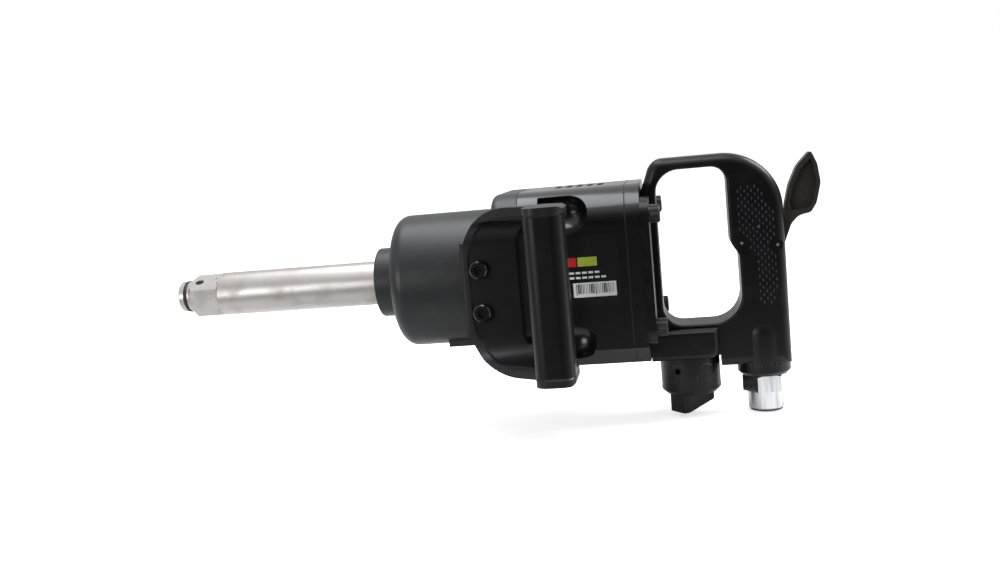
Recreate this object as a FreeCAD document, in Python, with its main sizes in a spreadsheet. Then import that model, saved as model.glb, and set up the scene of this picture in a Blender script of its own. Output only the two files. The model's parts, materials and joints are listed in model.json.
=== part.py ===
"""Air impact wrench with a one inch square drive, a long anvil, a D-handle and a side handle.

Millimetres, +Z up.  The spindle axis is X: the square drive points to -X and the D-handle is at +X.
The origin is the centre of the square drive's cross hole, on the spindle axis.  The side handle is
on the -Y side.
"""
import FreeCAD, Part
import math
import os
import re
import Sketcher

# name, value, what it is.  Plain numbers, millimetres and degrees.
SIZES = [
    # square drive and shaft
    ("drive_square", 25.4, "across the flats of the one inch square"),
    ("square_front", 8, "cross hole to the front of the square"),
    ("square_length", 26.4, "length of the square"),
    ("square_turn", 24.5, "how far the square is turned about the spindle at rest"),
    ("square_chamfer", 4, "turned chamfer on the front corners of the square"),
    ("cross_hole_d", 7, "socket retaining hole through the square"),
    ("tip_d", 25, "round tip in front of the square"),
    ("tip_length", 9.4, "length of the round tip"),
    ("tip_land", 4.6, "steel ring in front of the groove"),
    ("groove_width", 3, "socket ring groove"),
    ("groove_d", 20.6, "socket ring groove floor"),
    ("ring_section", 2.6, "thickness of the socket ring"),
    ("shaft_d", 35, "anvil shaft"),
    # hammer case
    ("nose_x", 154.6, "front face of the nose"),
    ("nose_length", 17.4, "nose, from its face to the dome"),
    ("nose_d", 55, "nose outside"),
    ("nose_fillet", 4, "fillet between nose and dome"),
    ("case_d", 104, "hammer case outside"),
    ("case_length", 104.4, "dome to the rear seam"),
    ("case_corner", 11, "rounded front corner of the case"),
    ("case_wall", 6, "side wall of the case"),
    ("case_front_wall", 18, "front wall of the case"),
    ("flange_length", 19.5, "rear flange of the case"),
    ("seal_depth", 5, "seal recess in the nose"),
    ("seal_d", 45, "seal recess diameter"),
    ("bushing_d", 43, "bore for the anvil bushing"),
    ("pad_height", 5, "side pad, above the case"),
    ("pad_length", 38, "side pad, along the spindle"),
    ("pad_width", 70, "side pad, across the spindle"),
    ("pad_ahead", 25.4, "middle of the side pad, in front of the rear seam"),
    ("low_pad_height", 0.4, "spare pad under the case"),
    ("low_pad_ahead", 48.4, "middle of the spare pad, in front of the rear seam"),
    ("low_pad_width", 42, "spare pad, across the spindle"),
    # motor housing
    ("housing_half_width", 62, "half of the housing's width"),
    ("housing_top", 64, "spindle to the top of the housing, and to the flange's underside"),
    ("housing_corner", 28, "corner radius of the housing"),
    ("motor_length", 77.8, "motor housing, between its gaskets"),
    ("gasket", 0.8, "thickness of the gaskets"),
    ("belly_depth", 68.5, "spindle to the bottom of the exhaust belly"),
    ("belly_length", 48, "exhaust belly, along the spindle"),
    ("belly_edge", 54, "spindle to the edge where the belly slants in"),
    ("belly_half_width", 42, "half of the belly's flat bottom"),
    ("belly_front_radius", 3.5, "rounded front of the belly"),
    ("scoop_radius", 15.5, "hollow over each case bolt"),
    ("scoop_y", 58, "hollow's centre across"),
    ("scoop_z", 47, "hollow's centre up or down"),
    ("scoop_wall", 15, "front wall that the case bolts clamp"),
    ("scoop_run", 21, "straight length of the hollow"),
    ("vent_count", 5, "exhaust slots in the top"),
    ("vent_pitch", 8, "slot spacing"),
    ("vent_width", 4.4, "slot width"),
    ("vent_length", 26, "slot length, across the housing"),
    ("vent_depth", 3.5, "slot depth"),
    ("vent_behind", 26.3, "first slot, behind the front of the housing"),
    ("back_plate", 10.2, "back plate thickness"),
    # motor
    ("liner_d", 84, "outside of the cylinder liner"),
    ("liner_bore_d", 72, "bore of the cylinder liner"),
    ("liner_offset", 2.5, "bore centre above the spindle"),
    ("rotor_d", 66, "rotor body"),
    ("end_plate", 12, "thickness of each end plate"),
    ("end_plate_rim_d", 96, "locating rim of the front end plate"),
    ("end_plate_rim", 4, "thickness of that rim"),
    ("vane_count", 6, "vanes in the rotor"),
    ("vane_thickness", 4, "thickness of a vane"),
    ("vane_root", 17.5, "spindle to the bottom of a vane"),
    ("front_journal_d", 20, "rotor journal in the front bearing"),
    ("rear_journal_d", 17, "rotor journal in the rear bearing"),
    ("front_bearing_d", 42, "outside of the front bearing"),
    ("rear_bearing_d", 35, "outside of the rear bearing"),
    ("bearing_width", 9, "width of both bearings"),
    ("hex_drive", 17, "across the flats of the rotor's hexagon"),
    ("dowel_d", 4, "dowel that keeps the end plates and liner from turning"),
    ("dowel_z", -38, "dowel above or below the spindle"),
    # hammer mechanism
    ("hammer_width", 21, "width of a hammer"),
    ("hammer_d", 83.4, "outside of a hammer"),
    ("hammer_bore_d", 51, "bore of a hammer"),
    ("jaw_d", 48, "outside of the anvil's jaws"),
    ("jaw_half_width", 9, "half of a jaw's width"),
    ("jaw_core_d", 30, "anvil between its jaws"),
    ("cage_plate", 8, "front plate of the hammer cage"),
    ("cage_web", 4, "middle plate of the hammer cage"),
    ("cage_shell", 3, "outer shell of the hammer cage"),
    ("hammer_pin_d", 10, "hammer pins"),
    ("hammer_pin_offset", 33.6, "spindle to each hammer pin"),
    ("pilot_d", 16, "anvil pilot in the cage"),
    # fasteners
    ("screw_d", 8, "M8 screws"),
    ("screw_head_d", 13, "M8 cap head"),
    ("screw_socket", 6, "across the flats of the key socket"),
    ("case_bolt_y", 51, "case bolts across"),
    ("case_bolt_z", 45, "case bolts up and down"),
    ("handle_bolt_y", 54, "handle bolts across"),
    ("handle_bolt_up", 42, "upper handle bolts above the spindle"),
    ("handle_bolt_down", 41, "lower handle bolts below the spindle"),
    # D-handle
    ("handle_flange", 6.2, "flange of the D-handle"),
    ("flange_half_width", 63, "half of that flange's width"),
    ("flange_half_height", 53, "half of that flange's height"),
    ("opening_behind", 11, "front of the hand opening, behind the face of the flange"),
    ("opening_length", 53, "hand opening along the spindle, above the knuckle"),
    ("knuckle", 6, "how far the opening widens below the knuckle"),
    ("knuckle_top", 13, "top of the knuckle's slope"),
    ("knuckle_bottom", 3, "bottom of the knuckle's slope"),
    ("opening_top", 70.5, "top of the hand opening"),
    ("opening_bottom", -47.5, "bottom of the hand opening"),
    ("handle_top", 79.5, "top of the D-handle"),
    ("handle_length", 104, "face of the flange to the rear of the grip"),
    ("grip_width", 36, "grip, across the spindle"),
    ("grip_sweep", 43, "large radius at the top of the grip"),
    ("grip_round", 7, "rounded edges of the grip"),
    ("block_bottom", -72.7, "underside of the valve block"),
    ("block_length", 50, "face of the flange to the rear of the valve block"),
    ("block_width", 56, "valve block, across the spindle"),
    ("bridge_bottom", -81.3, "underside of the bridge to the inlet boss"),
    ("boss_d", 40, "inlet boss"),
    ("boss_bottom", -90.5, "underside of the inlet boss"),
    ("boss_dome", -59, "where the boss's domed top begins"),
    # throttle
    ("inlet_behind", 84, "face of the flange to the inlet and throttle valve axis"),
    ("inlet_hex", 30, "across the flats of the inlet bushing"),
    ("inlet_hex_height", 13, "height of the inlet hexagon"),
    ("inlet_turn", 8, "how far the inlet hexagon is turned where it is tight"),
    ("collar_d", 27.6, "round collar of the inlet bushing"),
    ("collar_height", 14, "height of the collar"),
    ("inlet_bore_d", 18.6, "half inch pipe thread, inner diameter"),
    ("inlet_thread_d", 21, "thread of the bushing in the handle"),
    ("inlet_thread", 14.5, "length of that thread"),
    ("seat_height", 5, "valve seat"),
    ("seat_bore_d", 12, "valve seat opening"),
    ("chamber_bore_d", 15, "air chamber above the seat"),
    ("chamber_top", -50, "top of that chamber"),
    ("stem_d", 5, "throttle valve stem"),
    ("stem_top", 2.6, "top of the stem, under the lever's foot"),
    ("valve_d", 15, "throttle valve head"),
    ("valve_travel", 2.6, "room for the valve to open"),
    ("inlet_thread_depth", 24, "depth of the pipe thread"),
    ("screen_ledge", 2, "ledge between the pipe thread and the screen"),
    ("lever_behind", 98, "face of the flange to the lever pivot"),
    ("lever_z", 9, "lever pivot above the spindle"),
    ("lever_pin_d", 4.2, "lever pin"),
    ("lever_width", 13, "lever, across the spindle"),
    ("lever_web", 4, "thin middle of the lever's blade"),
    ("lever_slot", 14, "slot in the grip for the lever"),
    ("cross_pin_behind", 72, "face of the flange to the cross pin at the knuckle"),
    ("cross_pin_z", 12, "cross pin at the knuckle, above the spindle"),
    ("lock_pin_behind", 85, "face of the flange to the small pin that locks the stem bushing"),
    ("lock_pin_z", 23.5, "small pin, above the spindle"),
    ("lock_pin_d", 2.4, "small pin"),
    # reverse valve
    ("reverse_behind", 28, "face of the flange to the reverse valve axis"),
    ("reverse_bore_d", 24, "bore for the reverse valve"),
    ("reverse_top", -53, "top of that bore"),
    ("passage_z", -62, "air passage, above or below the spindle"),
    ("passage_d", 10, "air passage"),
    ("knob_d", 45.5, "skirt of the knob"),
    ("knob_height", 28.6, "height of the skirt"),
    ("knob_turn", 40, "how far the knob is turned at rest"),
    ("knob_hole_d", 4.6, "set screw hole in the knob's skirt"),
    ("knob_hole_down", 9.2, "that hole, below the top of the skirt"),
    ("knob_hole_turn", -155, "that hole, round the knob from its tab's rear"),
    ("knob_screw_reach", 4.7, "how far the knob's screw reaches above the underside of the block"),
    ("detent_offset", 16, "detent ball from the knob's axis"),
    ("tab_length", 31, "finger tab, along its face"),
    ("tab_width", 22, "finger tab, across its face"),
    ("tab_drop", 14.8, "finger tab below the skirt, at its front"),
    ("tab_slope", 8, "how much shorter the tab is at its rear"),
    # side handle
    ("ring_behind", 27.4, "grip bar of the side handle, behind the case's rear seam"),
    ("ring_y", -116, "grip bar of the side handle, across the spindle"),
    ("bar_size", 27.6, "grip bar, across its flats"),
    ("bar_round", 9, "rounded edges of the grip bar"),
    ("bar_end_round", 4, "rounded rear corners of the grip bar's ends"),
    ("ring_z", -4, "middle of the side handle"),
    ("ring_half_height", 61, "half of the side handle's height"),
    ("ring_corner", 28, "outer corners of the side handle"),
    ("ring_sweep", 40, "front corners of the side handle, seen from the side"),
    ("arm", 9, "thickness of the arms and the web"),
    ("web_ahead", 42.4, "front edge of the web, in front of that seam"),
    ("web_length", 37, "web, along the spindle"),
    ("ring_screw_ahead", 29.4, "side handle screws, in front of that seam"),
    ("ring_screw_gap", 32, "distance between the side handle screws"),
    # clearances
    ("running", 0.05, "radial clearance of a running fit"),
    ("loose", 0.1, "radial clearance of a part that is only held"),
    ("air", 0.5, "gap between parts that move past each other"),
    # label
    ("label_behind", 12.8, "front edge of the label, behind the front of the housing"),
    ("label_length", 59, "label, along the spindle"),
    ("label_low", -20, "lower edge of the label"),
    ("label_high", 30.5, "upper edge of the label"),
    ("label_thickness", 0.3, "label"),
]

# name, formula in the sizes above.  These follow when a size changes.
PLACES = [
    ("square_back", "square_length - square_front"),
    ("tip_x", "-square_front - tip_length"),
    ("groove_x", "tip_x + tip_land"),
    ("dome_x", "nose_x + nose_length"),
    ("seam_x", "dome_x + case_length"),
    ("chamber_x", "dome_x + case_front_wall"),
    ("chamber_r", "case_d / 2 - case_wall"),
    ("seal_x", "nose_x + seal_depth"),
    ("flange_x", "seam_x - flange_length"),
    ("pad_y", "-case_d / 2 - pad_height"),
    ("low_pad_z", "-case_d / 2 - low_pad_height"),
    ("motor_x", "seam_x + gasket"),
    ("motor_back", "motor_x + motor_length"),
    ("plate_x", "motor_back + gasket"),
    ("handle_x", "plate_x + back_plate"),
    ("flange_back", "handle_x + handle_flange"),
    ("opening_front", "handle_x + opening_behind"),
    ("opening_back", "opening_front + opening_length"),
    ("handle_back", "handle_x + handle_length"),
    ("block_back", "handle_x + block_length"),
    ("inlet_x", "handle_x + inlet_behind"),
    ("lever_x", "handle_x + lever_behind"),
    ("cross_pin_x", "handle_x + cross_pin_behind"),
    ("lock_pin_x", "handle_x + lock_pin_behind"),
    ("reverse_x", "handle_x + reverse_behind"),
    ("pad_x", "seam_x - pad_ahead"),
    ("low_pad_x", "seam_x - low_pad_ahead"),
    ("ring_x", "seam_x + ring_behind"),
    ("web_front", "seam_x - web_ahead"),
    ("web_back", "web_front + web_length"),
    ("ring_screw_x", "seam_x - ring_screw_ahead"),
    ("vent_x", "motor_x + vent_behind"),
    ("label_x", "motor_x + label_behind"),
    ("liner_x", "motor_x + end_plate"),
    ("liner_back", "motor_back - end_plate"),
    ("scoop_x", "motor_x + scoop_wall"),
    ("belly_x", "motor_back - belly_length"),
    ("cage_x", "chamber_x + 2"),
    ("hammer_a", "cage_x + cage_plate + air"),
    ("web_x", "hammer_a + hammer_width + air"),
    ("hammer_b", "web_x + cage_web + air"),
    ("cage_rear", "hammer_b + hammer_width + air"),
    ("cage_hub", "cage_rear + 10"),
    ("cage_end", "motor_x - air"),
    ("cage_r", "chamber_r - air"),
    ("pilot_end", "cage_rear + 10"),
    ("seat_top", "boss_bottom + inlet_thread + seat_height"),
    ("bushing_top", "boss_bottom + inlet_thread"),
    ("collar_bottom", "boss_bottom - inlet_hex_height - collar_height"),
    ("screen_z", "collar_bottom + inlet_thread_depth + screen_ledge"),
    ("knob_top", "block_bottom - air"),
    ("skirt_bottom", "knob_top - knob_height"),
    ("web_face", "pad_y - arm"),
    ("ring_top", "ring_z + ring_half_height"),
    ("ring_bottom", "ring_z - ring_half_height"),
    ("bar_front", "ring_x - bar_size / 2"),
    ("bar_back", "ring_x + bar_size / 2"),
    ("bar_outer", "ring_y - bar_size / 2"),
    ("bar_inner", "ring_y + bar_size / 2"),
]

doc = FreeCAD.newDocument("ImpactWrench")
sheet = doc.addObject("Spreadsheet::Sheet", "Sizes")
ALIASES = re.compile(r"\b(%s)\b" % "|".join(row[0] for row in SIZES + PLACES))
ORIGIN = FreeCAD.Vector(0, 0, 0)
AXIS = {"X": 0, "Y": 1, "Z": 2}
STAND = {
    "X": FreeCAD.Rotation(FreeCAD.Vector(0, 1, 0), 90),
    "Y": FreeCAD.Rotation(FreeCAD.Vector(1, 0, 0), -90),
    "Z": FreeCAD.Rotation(),
}
nodes = []


def fill_sheet():
    """Write the sizes as plain numbers and the places as formulas, each with its alias."""
    for row, (alias, content, *note) in enumerate(SIZES + PLACES, 1):
        sheet.set(f"A{row}", alias)
        sheet.set(f"B{row}", str(content) if note else "=" + content)
        sheet.setAlias(f"B{row}", alias)
        sheet.set(f"C{row}", note[0] if note else "follows the sizes")
    doc.recompute()


def tied(formula):
    """The formula with each alias read from the sheet."""
    return ALIASES.sub(r"Sizes.\1", formula)


def value(formula):
    """What a formula comes to now."""
    return float(sheet.evalExpression(tied(formula)))


def bind(thing, **formulas):
    """Tie properties of an object to formulas in the sheet."""
    for prop, formula in formulas.items():
        thing.setExpression(prop, tied(formula))


def place(thing, spot):
    """Tie an object's position to three formulas."""
    for letter, formula in zip("xyz", spot):
        thing.setExpression(f"Placement.Base.{letter}", tied(formula))


def new_body(label, spot=("0", "0", "0")):
    body = doc.addObject("PartDesign::Body", label)
    place(body, spot)
    return body


def turn_body(body, axis, angle):
    """Turn a finished body about an axis through its own origin, by an angle in the sheet."""
    body.Placement = FreeCAD.Placement(body.Placement.Base, FreeCAD.Rotation(axis, value(angle)))
    body.setExpression("Placement.Rotation.Angle", tied(angle))


def keep(thing, label):
    """Name a finished sub-part: its label names its file."""
    thing.Label = label
    nodes.append(thing)
    return thing


def base_plane(body, role):
    return next(plane for plane in body.Origin.OriginFeatures if plane.Role == role)


def outline(body, role, points, lift="0"):
    """A closed straight-sided sketch on one of the body's planes; every corner is tied to the sheet."""
    sketch = body.newObject("Sketcher::SketchObject", "Outline")
    sketch.AttachmentSupport = (base_plane(body, role), [""])
    sketch.MapMode = "FlatFace"
    sketch.setExpression("AttachmentOffset.Base.z", tied(lift))
    corners = [FreeCAD.Vector(value(across), value(up), 0) for across, up in points]
    count = len(corners)
    for index, corner in enumerate(corners):
        sketch.addGeometry(Part.LineSegment(corner, corners[(index + 1) % count]))
    for index in range(count):
        sketch.addConstraint(Sketcher.Constraint("Coincident", index, 2, (index + 1) % count, 1))
    for index, (formulas, corner) in enumerate(zip(points, corners)):
        for kind, formula, size in zip(("DistanceX", "DistanceY"), formulas, corner):
            number = sketch.addConstraint(Sketcher.Constraint(kind, -1, 1, index, 1, size))
            sketch.setExpression(f"Constraints[{number}]", tied(formula))
    return sketch


def turned(body, about, points, action="Revolution"):
    """Turn an outline about the body's X or Z axis.  Points are (along the axis, radius)."""
    if about == "Z":
        points = [(radius, along) for along, radius in points]
    sketch = outline(body, "XZ_Plane", points)
    feature = body.newObject(f"PartDesign::{action}", action)
    feature.Profile = sketch
    feature.ReferenceAxis = (sketch, ["H_Axis" if about == "X" else "V_Axis"])
    feature.Angle = 360
    doc.recompute()
    return feature


def pad(body, role, points, length, lift="0", middle=False, action="Pad"):
    """Pad or pocket an outline; `middle` spreads it to both sides of its plane."""
    feature = body.newObject(f"PartDesign::{action}", action)
    feature.Profile = outline(body, role, points, lift)
    feature.Midplane = middle
    bind(feature, Length=length)
    doc.recompute()
    return feature


def bar(body, action, axis, start, end, radius, centre=("0", "0")):
    """Add or cut a round bar along an axis; `centre` gives its other two coordinates."""
    feature = body.newObject(f"PartDesign::{action}Cylinder", action + "Bar")
    bind(feature, Radius=radius, Height=f"({end}) - ({start})")
    feature.Placement = FreeCAD.Placement(ORIGIN, STAND[axis])
    spot = list(centre)
    spot.insert(AXIS[axis], start)
    place(feature, spot)
    doc.recompute()
    return feature


def block(body, action, low, high):
    """Add or cut a box between two corners."""
    feature = body.newObject(f"PartDesign::{action}Box", action + "Block")
    sides = [f"({top}) - ({bottom})" for bottom, top in zip(low, high)]
    bind(feature, Length=sides[0], Width=sides[1], Height=sides[2])
    place(feature, low)
    doc.recompute()
    return feature


def ball(body, action, centre, radius):
    feature = body.newObject(f"PartDesign::{action}Sphere", action + "Ball")
    bind(feature, Radius=radius)
    place(feature, centre)
    doc.recompute()
    return feature


def hexagon(body, action, axis, start, end, flats, centre=("0", "0")):
    """Add or cut a hexagonal bar along an axis, by its size across the flats."""
    feature = body.newObject(f"PartDesign::{action}Prism", action + "Hexagon")
    feature.Polygon = 6
    bind(feature, Circumradius=f"({flats}) / sqrt(3)", Height=f"({end}) - ({start})")
    feature.Placement = FreeCAD.Placement(ORIGIN, STAND[axis])
    spot = list(centre)
    spot.insert(AXIS[axis], start)
    place(feature, spot)
    doc.recompute()
    return feature


def dress(body, edges, size, kind="Fillet"):
    """Round or chamfer chosen edges of the body's last feature."""
    base = body.Tip
    names = [f"Edge{number}" for number, edge in enumerate(base.Shape.Edges, 1) if edges(edge)]
    if not names:
        raise ValueError(f"{body.Name}: no edge to {kind.lower()}")
    feature = body.newObject(f"PartDesign::{kind}", kind)
    feature.Base = (base, names)
    bind(feature, **{"Radius" if kind == "Fillet" else "Size": size})
    doc.recompute()
    if not feature.isValid():
        raise ValueError(f"{body.Name}: {kind.lower()} of {size} on {len(names)} edges fails")
    return feature


def close(one, other):
    return abs(one - other) < 0.02


def ring_at(along, radius, axis="X"):
    """Choose full circles about an axis, by their place along it and their radius."""
    place_now = value(along)
    radius_now = value(radius)

    def chosen(edge):
        curve = edge.Curve
        if not isinstance(curve, Part.Circle):
            return False
        return close(curve.Center[AXIS[axis]], place_now) and close(curve.Radius, radius_now)

    return chosen


def corner_at(axis, *spots):
    """Choose straight edges along an axis that pass through the given spots."""
    others = [number for number in range(3) if number != AXIS[axis]]
    wanted = [tuple(value(formula) for formula in spot) for spot in spots]

    def chosen(edge):
        if not isinstance(edge.Curve, Part.Line) or abs(edge.Curve.Direction[AXIS[axis]]) < 0.999:
            return False
        point = edge.Vertexes[0].Point
        spot = [point[number] for number in others]
        return any(close(spot[0], across) and close(spot[1], up) for across, up in wanted)

    return chosen


def in_plane(axis, at, within=lambda centre: True):
    """Choose edges that lie in a plane square to an axis and whose centre passes a test."""
    level = value(at)
    number = AXIS[axis]

    def chosen(edge):
        box = edge.BoundBox
        low = (box.XMin, box.YMin, box.ZMin)[number]
        high = (box.XMax, box.YMax, box.ZMax)[number]
        return close(low, level) and close(high, level) and within(edge.CenterOfMass)

    return chosen


def group(label, members):
    """Separate solids that share one node."""
    compound = doc.addObject("Part::Compound", label)
    compound.Links = members
    doc.recompute()
    return keep(compound, label)


def copies(body, spots, turns=None):
    """Linked copies of a body, each at three formulas, with one rotation each where asked."""
    linked = []
    for index, spot in enumerate(spots):
        link = doc.addObject("App::Link", body.Name + "Copy")
        link.LinkedObject = body
        if turns:
            link.Placement = FreeCAD.Placement(ORIGIN, turns[index])
        place(link, spot)
        linked.append(link)
    return linked


def spread_about_spindle(body, count):
    """Copies of a body, spread evenly round the spindle."""
    turns = [FreeCAD.Rotation(FreeCAD.Vector(1, 0, 0), 360 * number / count) for number in range(count)]
    return copies(body, [("0", "0", "0")] * count, turns)


def cap_screw(label, length, head, head_d="screw_head_d"):
    """A socket head cap screw along X: the head at +X of the origin, the shank at -X."""
    body = new_body(label)
    turned(body, "X", [
        (f"-({length})", "0"), (f"-({length})", "screw_d / 2 - loose"), ("0", "screw_d / 2 - loose"),
        ("0", f"({head_d}) / 2"), (head, f"({head_d}) / 2"), (head, "0"),
    ])
    dress(body, ring_at(head, f"({head_d}) / 2"), "0.8", "Chamfer")
    hexagon(body, "Subtractive", "X", f"({head}) * 0.45", f"({head}) + 1", "screw_socket")
    return body


def housing_section(body, front, back):
    """The rounded square section that the case flange, housing, back plate and gaskets share."""
    half, top = "housing_half_width", "housing_top"
    corners = [(f"-{half}", f"-{top}"), (half, f"-{top}"), (half, top), (f"-{half}", top)]
    pad(body, "YZ_Plane", corners, f"({back}) - ({front})", lift=front)
    dress(body, corner_at("X", *corners), "housing_corner")


def belly_section(body, front, back):
    """The exhaust belly's section, below the rounded square."""
    half, low = "housing_half_width", "belly_half_width"
    pad(body, "YZ_Plane", [
        (f"-{half}", "-housing_top + housing_corner"), (f"-{half}", "-belly_edge"), (f"-{low}", "-belly_depth"),
        (low, "-belly_depth"), (half, "-belly_edge"), (half, "-housing_top + housing_corner"),
    ], f"({back}) - ({front})", lift=front)


# ---------------------------------------------------------------- spindle line

def make_anvil():
    """Round tip, turned square, long shaft, two jaws half a turn apart and a rear pilot."""
    body = new_body("anvil")
    square_r, shaft_r = "drive_square / sqrt(2)", "shaft_d / 2"
    half = "drive_square / 2"
    pad(body, "YZ_Plane", [(f"-{half}", f"-{half}"), (half, f"-{half}"), (half, half), (f"-{half}", half)],
        "square_length", lift="-square_front")
    # What lies outside this turned shape comes off the square: the front chamfer and the corners.
    turned(body, "X", [
        ("-square_front", "tip_d / 2"), ("-square_front + square_chamfer", shaft_r), ("square_back", shaft_r),
        ("square_back", "shaft_d"), ("-square_front", "shaft_d"),
    ], "Groove")
    bar(body, "Subtractive", "Z", "-shaft_d", "shaft_d", "cross_hole_d / 2")
    turned(body, "X", [
        ("tip_x", "0"), ("tip_x", "tip_d / 2 - 1"), ("tip_x + 1", "tip_d / 2"), ("groove_x", "tip_d / 2"),
        ("groove_x", "groove_d / 2"), ("groove_x + groove_width", "groove_d / 2"),
        ("groove_x + groove_width", "tip_d / 2"), ("-square_front", "tip_d / 2"), ("-square_front", "0"),
    ])
    turned(body, "X", [
        ("square_back", "0"), ("square_back", f"{shaft_r} - 0.8"), ("square_back + 0.8", shaft_r),
        ("cage_x + cage_plate", shaft_r), ("cage_x + cage_plate", "jaw_core_d / 2"),
        ("cage_rear - air", "jaw_core_d / 2"), ("cage_rear - air", "pilot_d / 2"),
        ("pilot_end", "pilot_d / 2"), ("pilot_end", "0"),
    ])
    for start, side in (("hammer_a", ""), ("hammer_b", "-")):
        near = f"{side}jaw_core_d / 2 * 0.8"
        far = f"{side}sqrt(pow(jaw_d / 2; 2) - pow(jaw_half_width; 2))"
        pad(body, "YZ_Plane", [("-jaw_half_width", near), ("jaw_half_width", near), ("jaw_half_width", far),
                               ("-jaw_half_width", far)], "hammer_width", lift=start)
    turn_body(body, FreeCAD.Vector(1, 0, 0), "square_turn")
    keep(body, "anvil")


def make_socket_ring():
    ring = doc.addObject("Part::Torus", "socket_ring")
    ring.Placement = FreeCAD.Placement(ORIGIN, STAND["X"])
    bind(ring, Radius1="groove_d / 2 + ring_section / 2 + 0.02", Radius2="ring_section / 2")
    place(ring, ("groove_x + groove_width / 2", "0", "0"))
    keep(ring, "socket_ring")


def make_hammer_case():
    body = new_body("hammer_case")
    case_r, nose_r = "case_d / 2", "nose_d / 2"
    turned(body, "X", [("nose_x", "0"), ("nose_x", nose_r), ("dome_x", nose_r), ("dome_x", case_r),
                       ("seam_x", case_r), ("seam_x", "0")])
    dress(body, ring_at("dome_x", case_r), "case_corner")
    dress(body, ring_at("dome_x", nose_r), "nose_fillet")
    dress(body, ring_at("nose_x", nose_r), "1.5")
    housing_section(body, "flange_x", "seam_x")
    dress(body, in_plane("X", "flange_x", lambda centre: max(abs(centre.y), abs(centre.z)) > value("case_d / 2 + 1")),
          "5")
    block(body, "Additive", ("pad_x - pad_length / 2", "pad_y", "ring_z - pad_width / 2"),
          ("pad_x + pad_length / 2", "-chamber_r", "ring_z + pad_width / 2"))
    block(body, "Additive", ("low_pad_x - pad_length / 2", "-low_pad_width / 2", "low_pad_z"),
          ("low_pad_x + pad_length / 2", "low_pad_width / 2", "-chamber_r"))
    dress(body, in_plane("Z", "low_pad_z"), "0.3", "Chamfer")
    turned(body, "X", [
        ("nose_x - 1", "0"), ("nose_x - 1", "seal_d / 2"), ("seal_x", "seal_d / 2"), ("seal_x", "bushing_d / 2"),
        ("chamber_x", "bushing_d / 2"), ("chamber_x", "chamber_r"), ("seam_x + 1", "chamber_r"), ("seam_x + 1", "0"),
    ], "Groove")
    for across in ("-case_bolt_y", "case_bolt_y"):
        for up in ("-case_bolt_z", "case_bolt_z"):
            bar(body, "Subtractive", "X", "seam_x - 15", "seam_x + 1", "screw_d / 2", (across, up))
    for side in ("-", "+"):
        up = f"ring_z {side} ring_screw_gap / 2"
        bar(body, "Subtractive", "Y", "pad_y - 1", "pad_y + 10", "screw_d / 2", ("ring_screw_x", up))
        bar(body, "Subtractive", "Z", "low_pad_z - 1", "low_pad_z + 6", "screw_d / 2",
            ("low_pad_x", f"{side}ring_screw_gap / 2"))
    keep(body, "hammer_case")


def ring(label, start, end, inner, outer, about="X", spot=("0", "0", "0")):
    """A plain turned ring."""
    body = new_body(label, spot)
    turned(body, about, [(start, inner), (start, outer), (end, outer), (end, inner)])
    return keep(body, label)


def make_nose_parts():
    ring("anvil_bushing", "seal_x + 0.4", "chamber_x", "shaft_d / 2 + running", "bushing_d / 2")
    body = new_body("nose_seal")
    turned(body, "X", [
        ("nose_x + 0.4", "shaft_d / 2 + 0.35"), ("nose_x + 0.4", "seal_d / 2 - loose"),
        ("seal_x - 0.2", "seal_d / 2 - loose"), ("seal_x - 0.2", "shaft_d / 2 + 1.6"),
        ("nose_x + 2", "shaft_d / 2 + 1.6"), ("nose_x + 2", "shaft_d / 2 + 0.35"),
    ])
    keep(body, "nose_seal")


# ---------------------------------------------------------------- hammer mechanism

def make_hammer_cage():
    """Drum with three plates, two pin holes and large side windows, driven by the rotor's hexagon."""
    body = new_body("hammer_cage")
    shell = "cage_r - cage_shell"
    turned(body, "X", [
        ("cage_x", "shaft_d / 2 + 0.2"), ("cage_x", "cage_r"), ("cage_hub", "cage_r"), ("cage_hub", "20"),
        ("cage_end", "20"), ("cage_end", "0"), ("pilot_end + 1", "0"), ("pilot_end + 1", "pilot_d / 2 + running"),
        ("cage_rear", "pilot_d / 2 + running"), ("cage_rear", shell), ("hammer_b - air", shell),
        ("hammer_b - air", "hammer_bore_d / 2"), ("web_x", "hammer_bore_d / 2"), ("web_x", shell),
        ("hammer_a - air", shell), ("hammer_a - air", "shaft_d / 2 + 0.2"),
    ])
    block(body, "Subtractive", ("hammer_a - air", "-chamber_r - 1", "-cage_r * 0.6"),
          ("web_x", "chamber_r + 1", "cage_r * 0.6"))
    block(body, "Subtractive", ("hammer_b - air", "-chamber_r - 1", "-cage_r * 0.6"),
          ("cage_rear", "chamber_r + 1", "cage_r * 0.6"))
    for up in ("-hammer_pin_offset", "hammer_pin_offset"):
        bar(body, "Subtractive", "X", "cage_x + 1", "cage_rear + 6", "hammer_pin_d / 2", ("0", up))
    hexagon(body, "Subtractive", "X", "pilot_end + 1", "cage_end + 1", "hex_drive + 2 * loose")
    keep(body, "hammer_cage")


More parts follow.
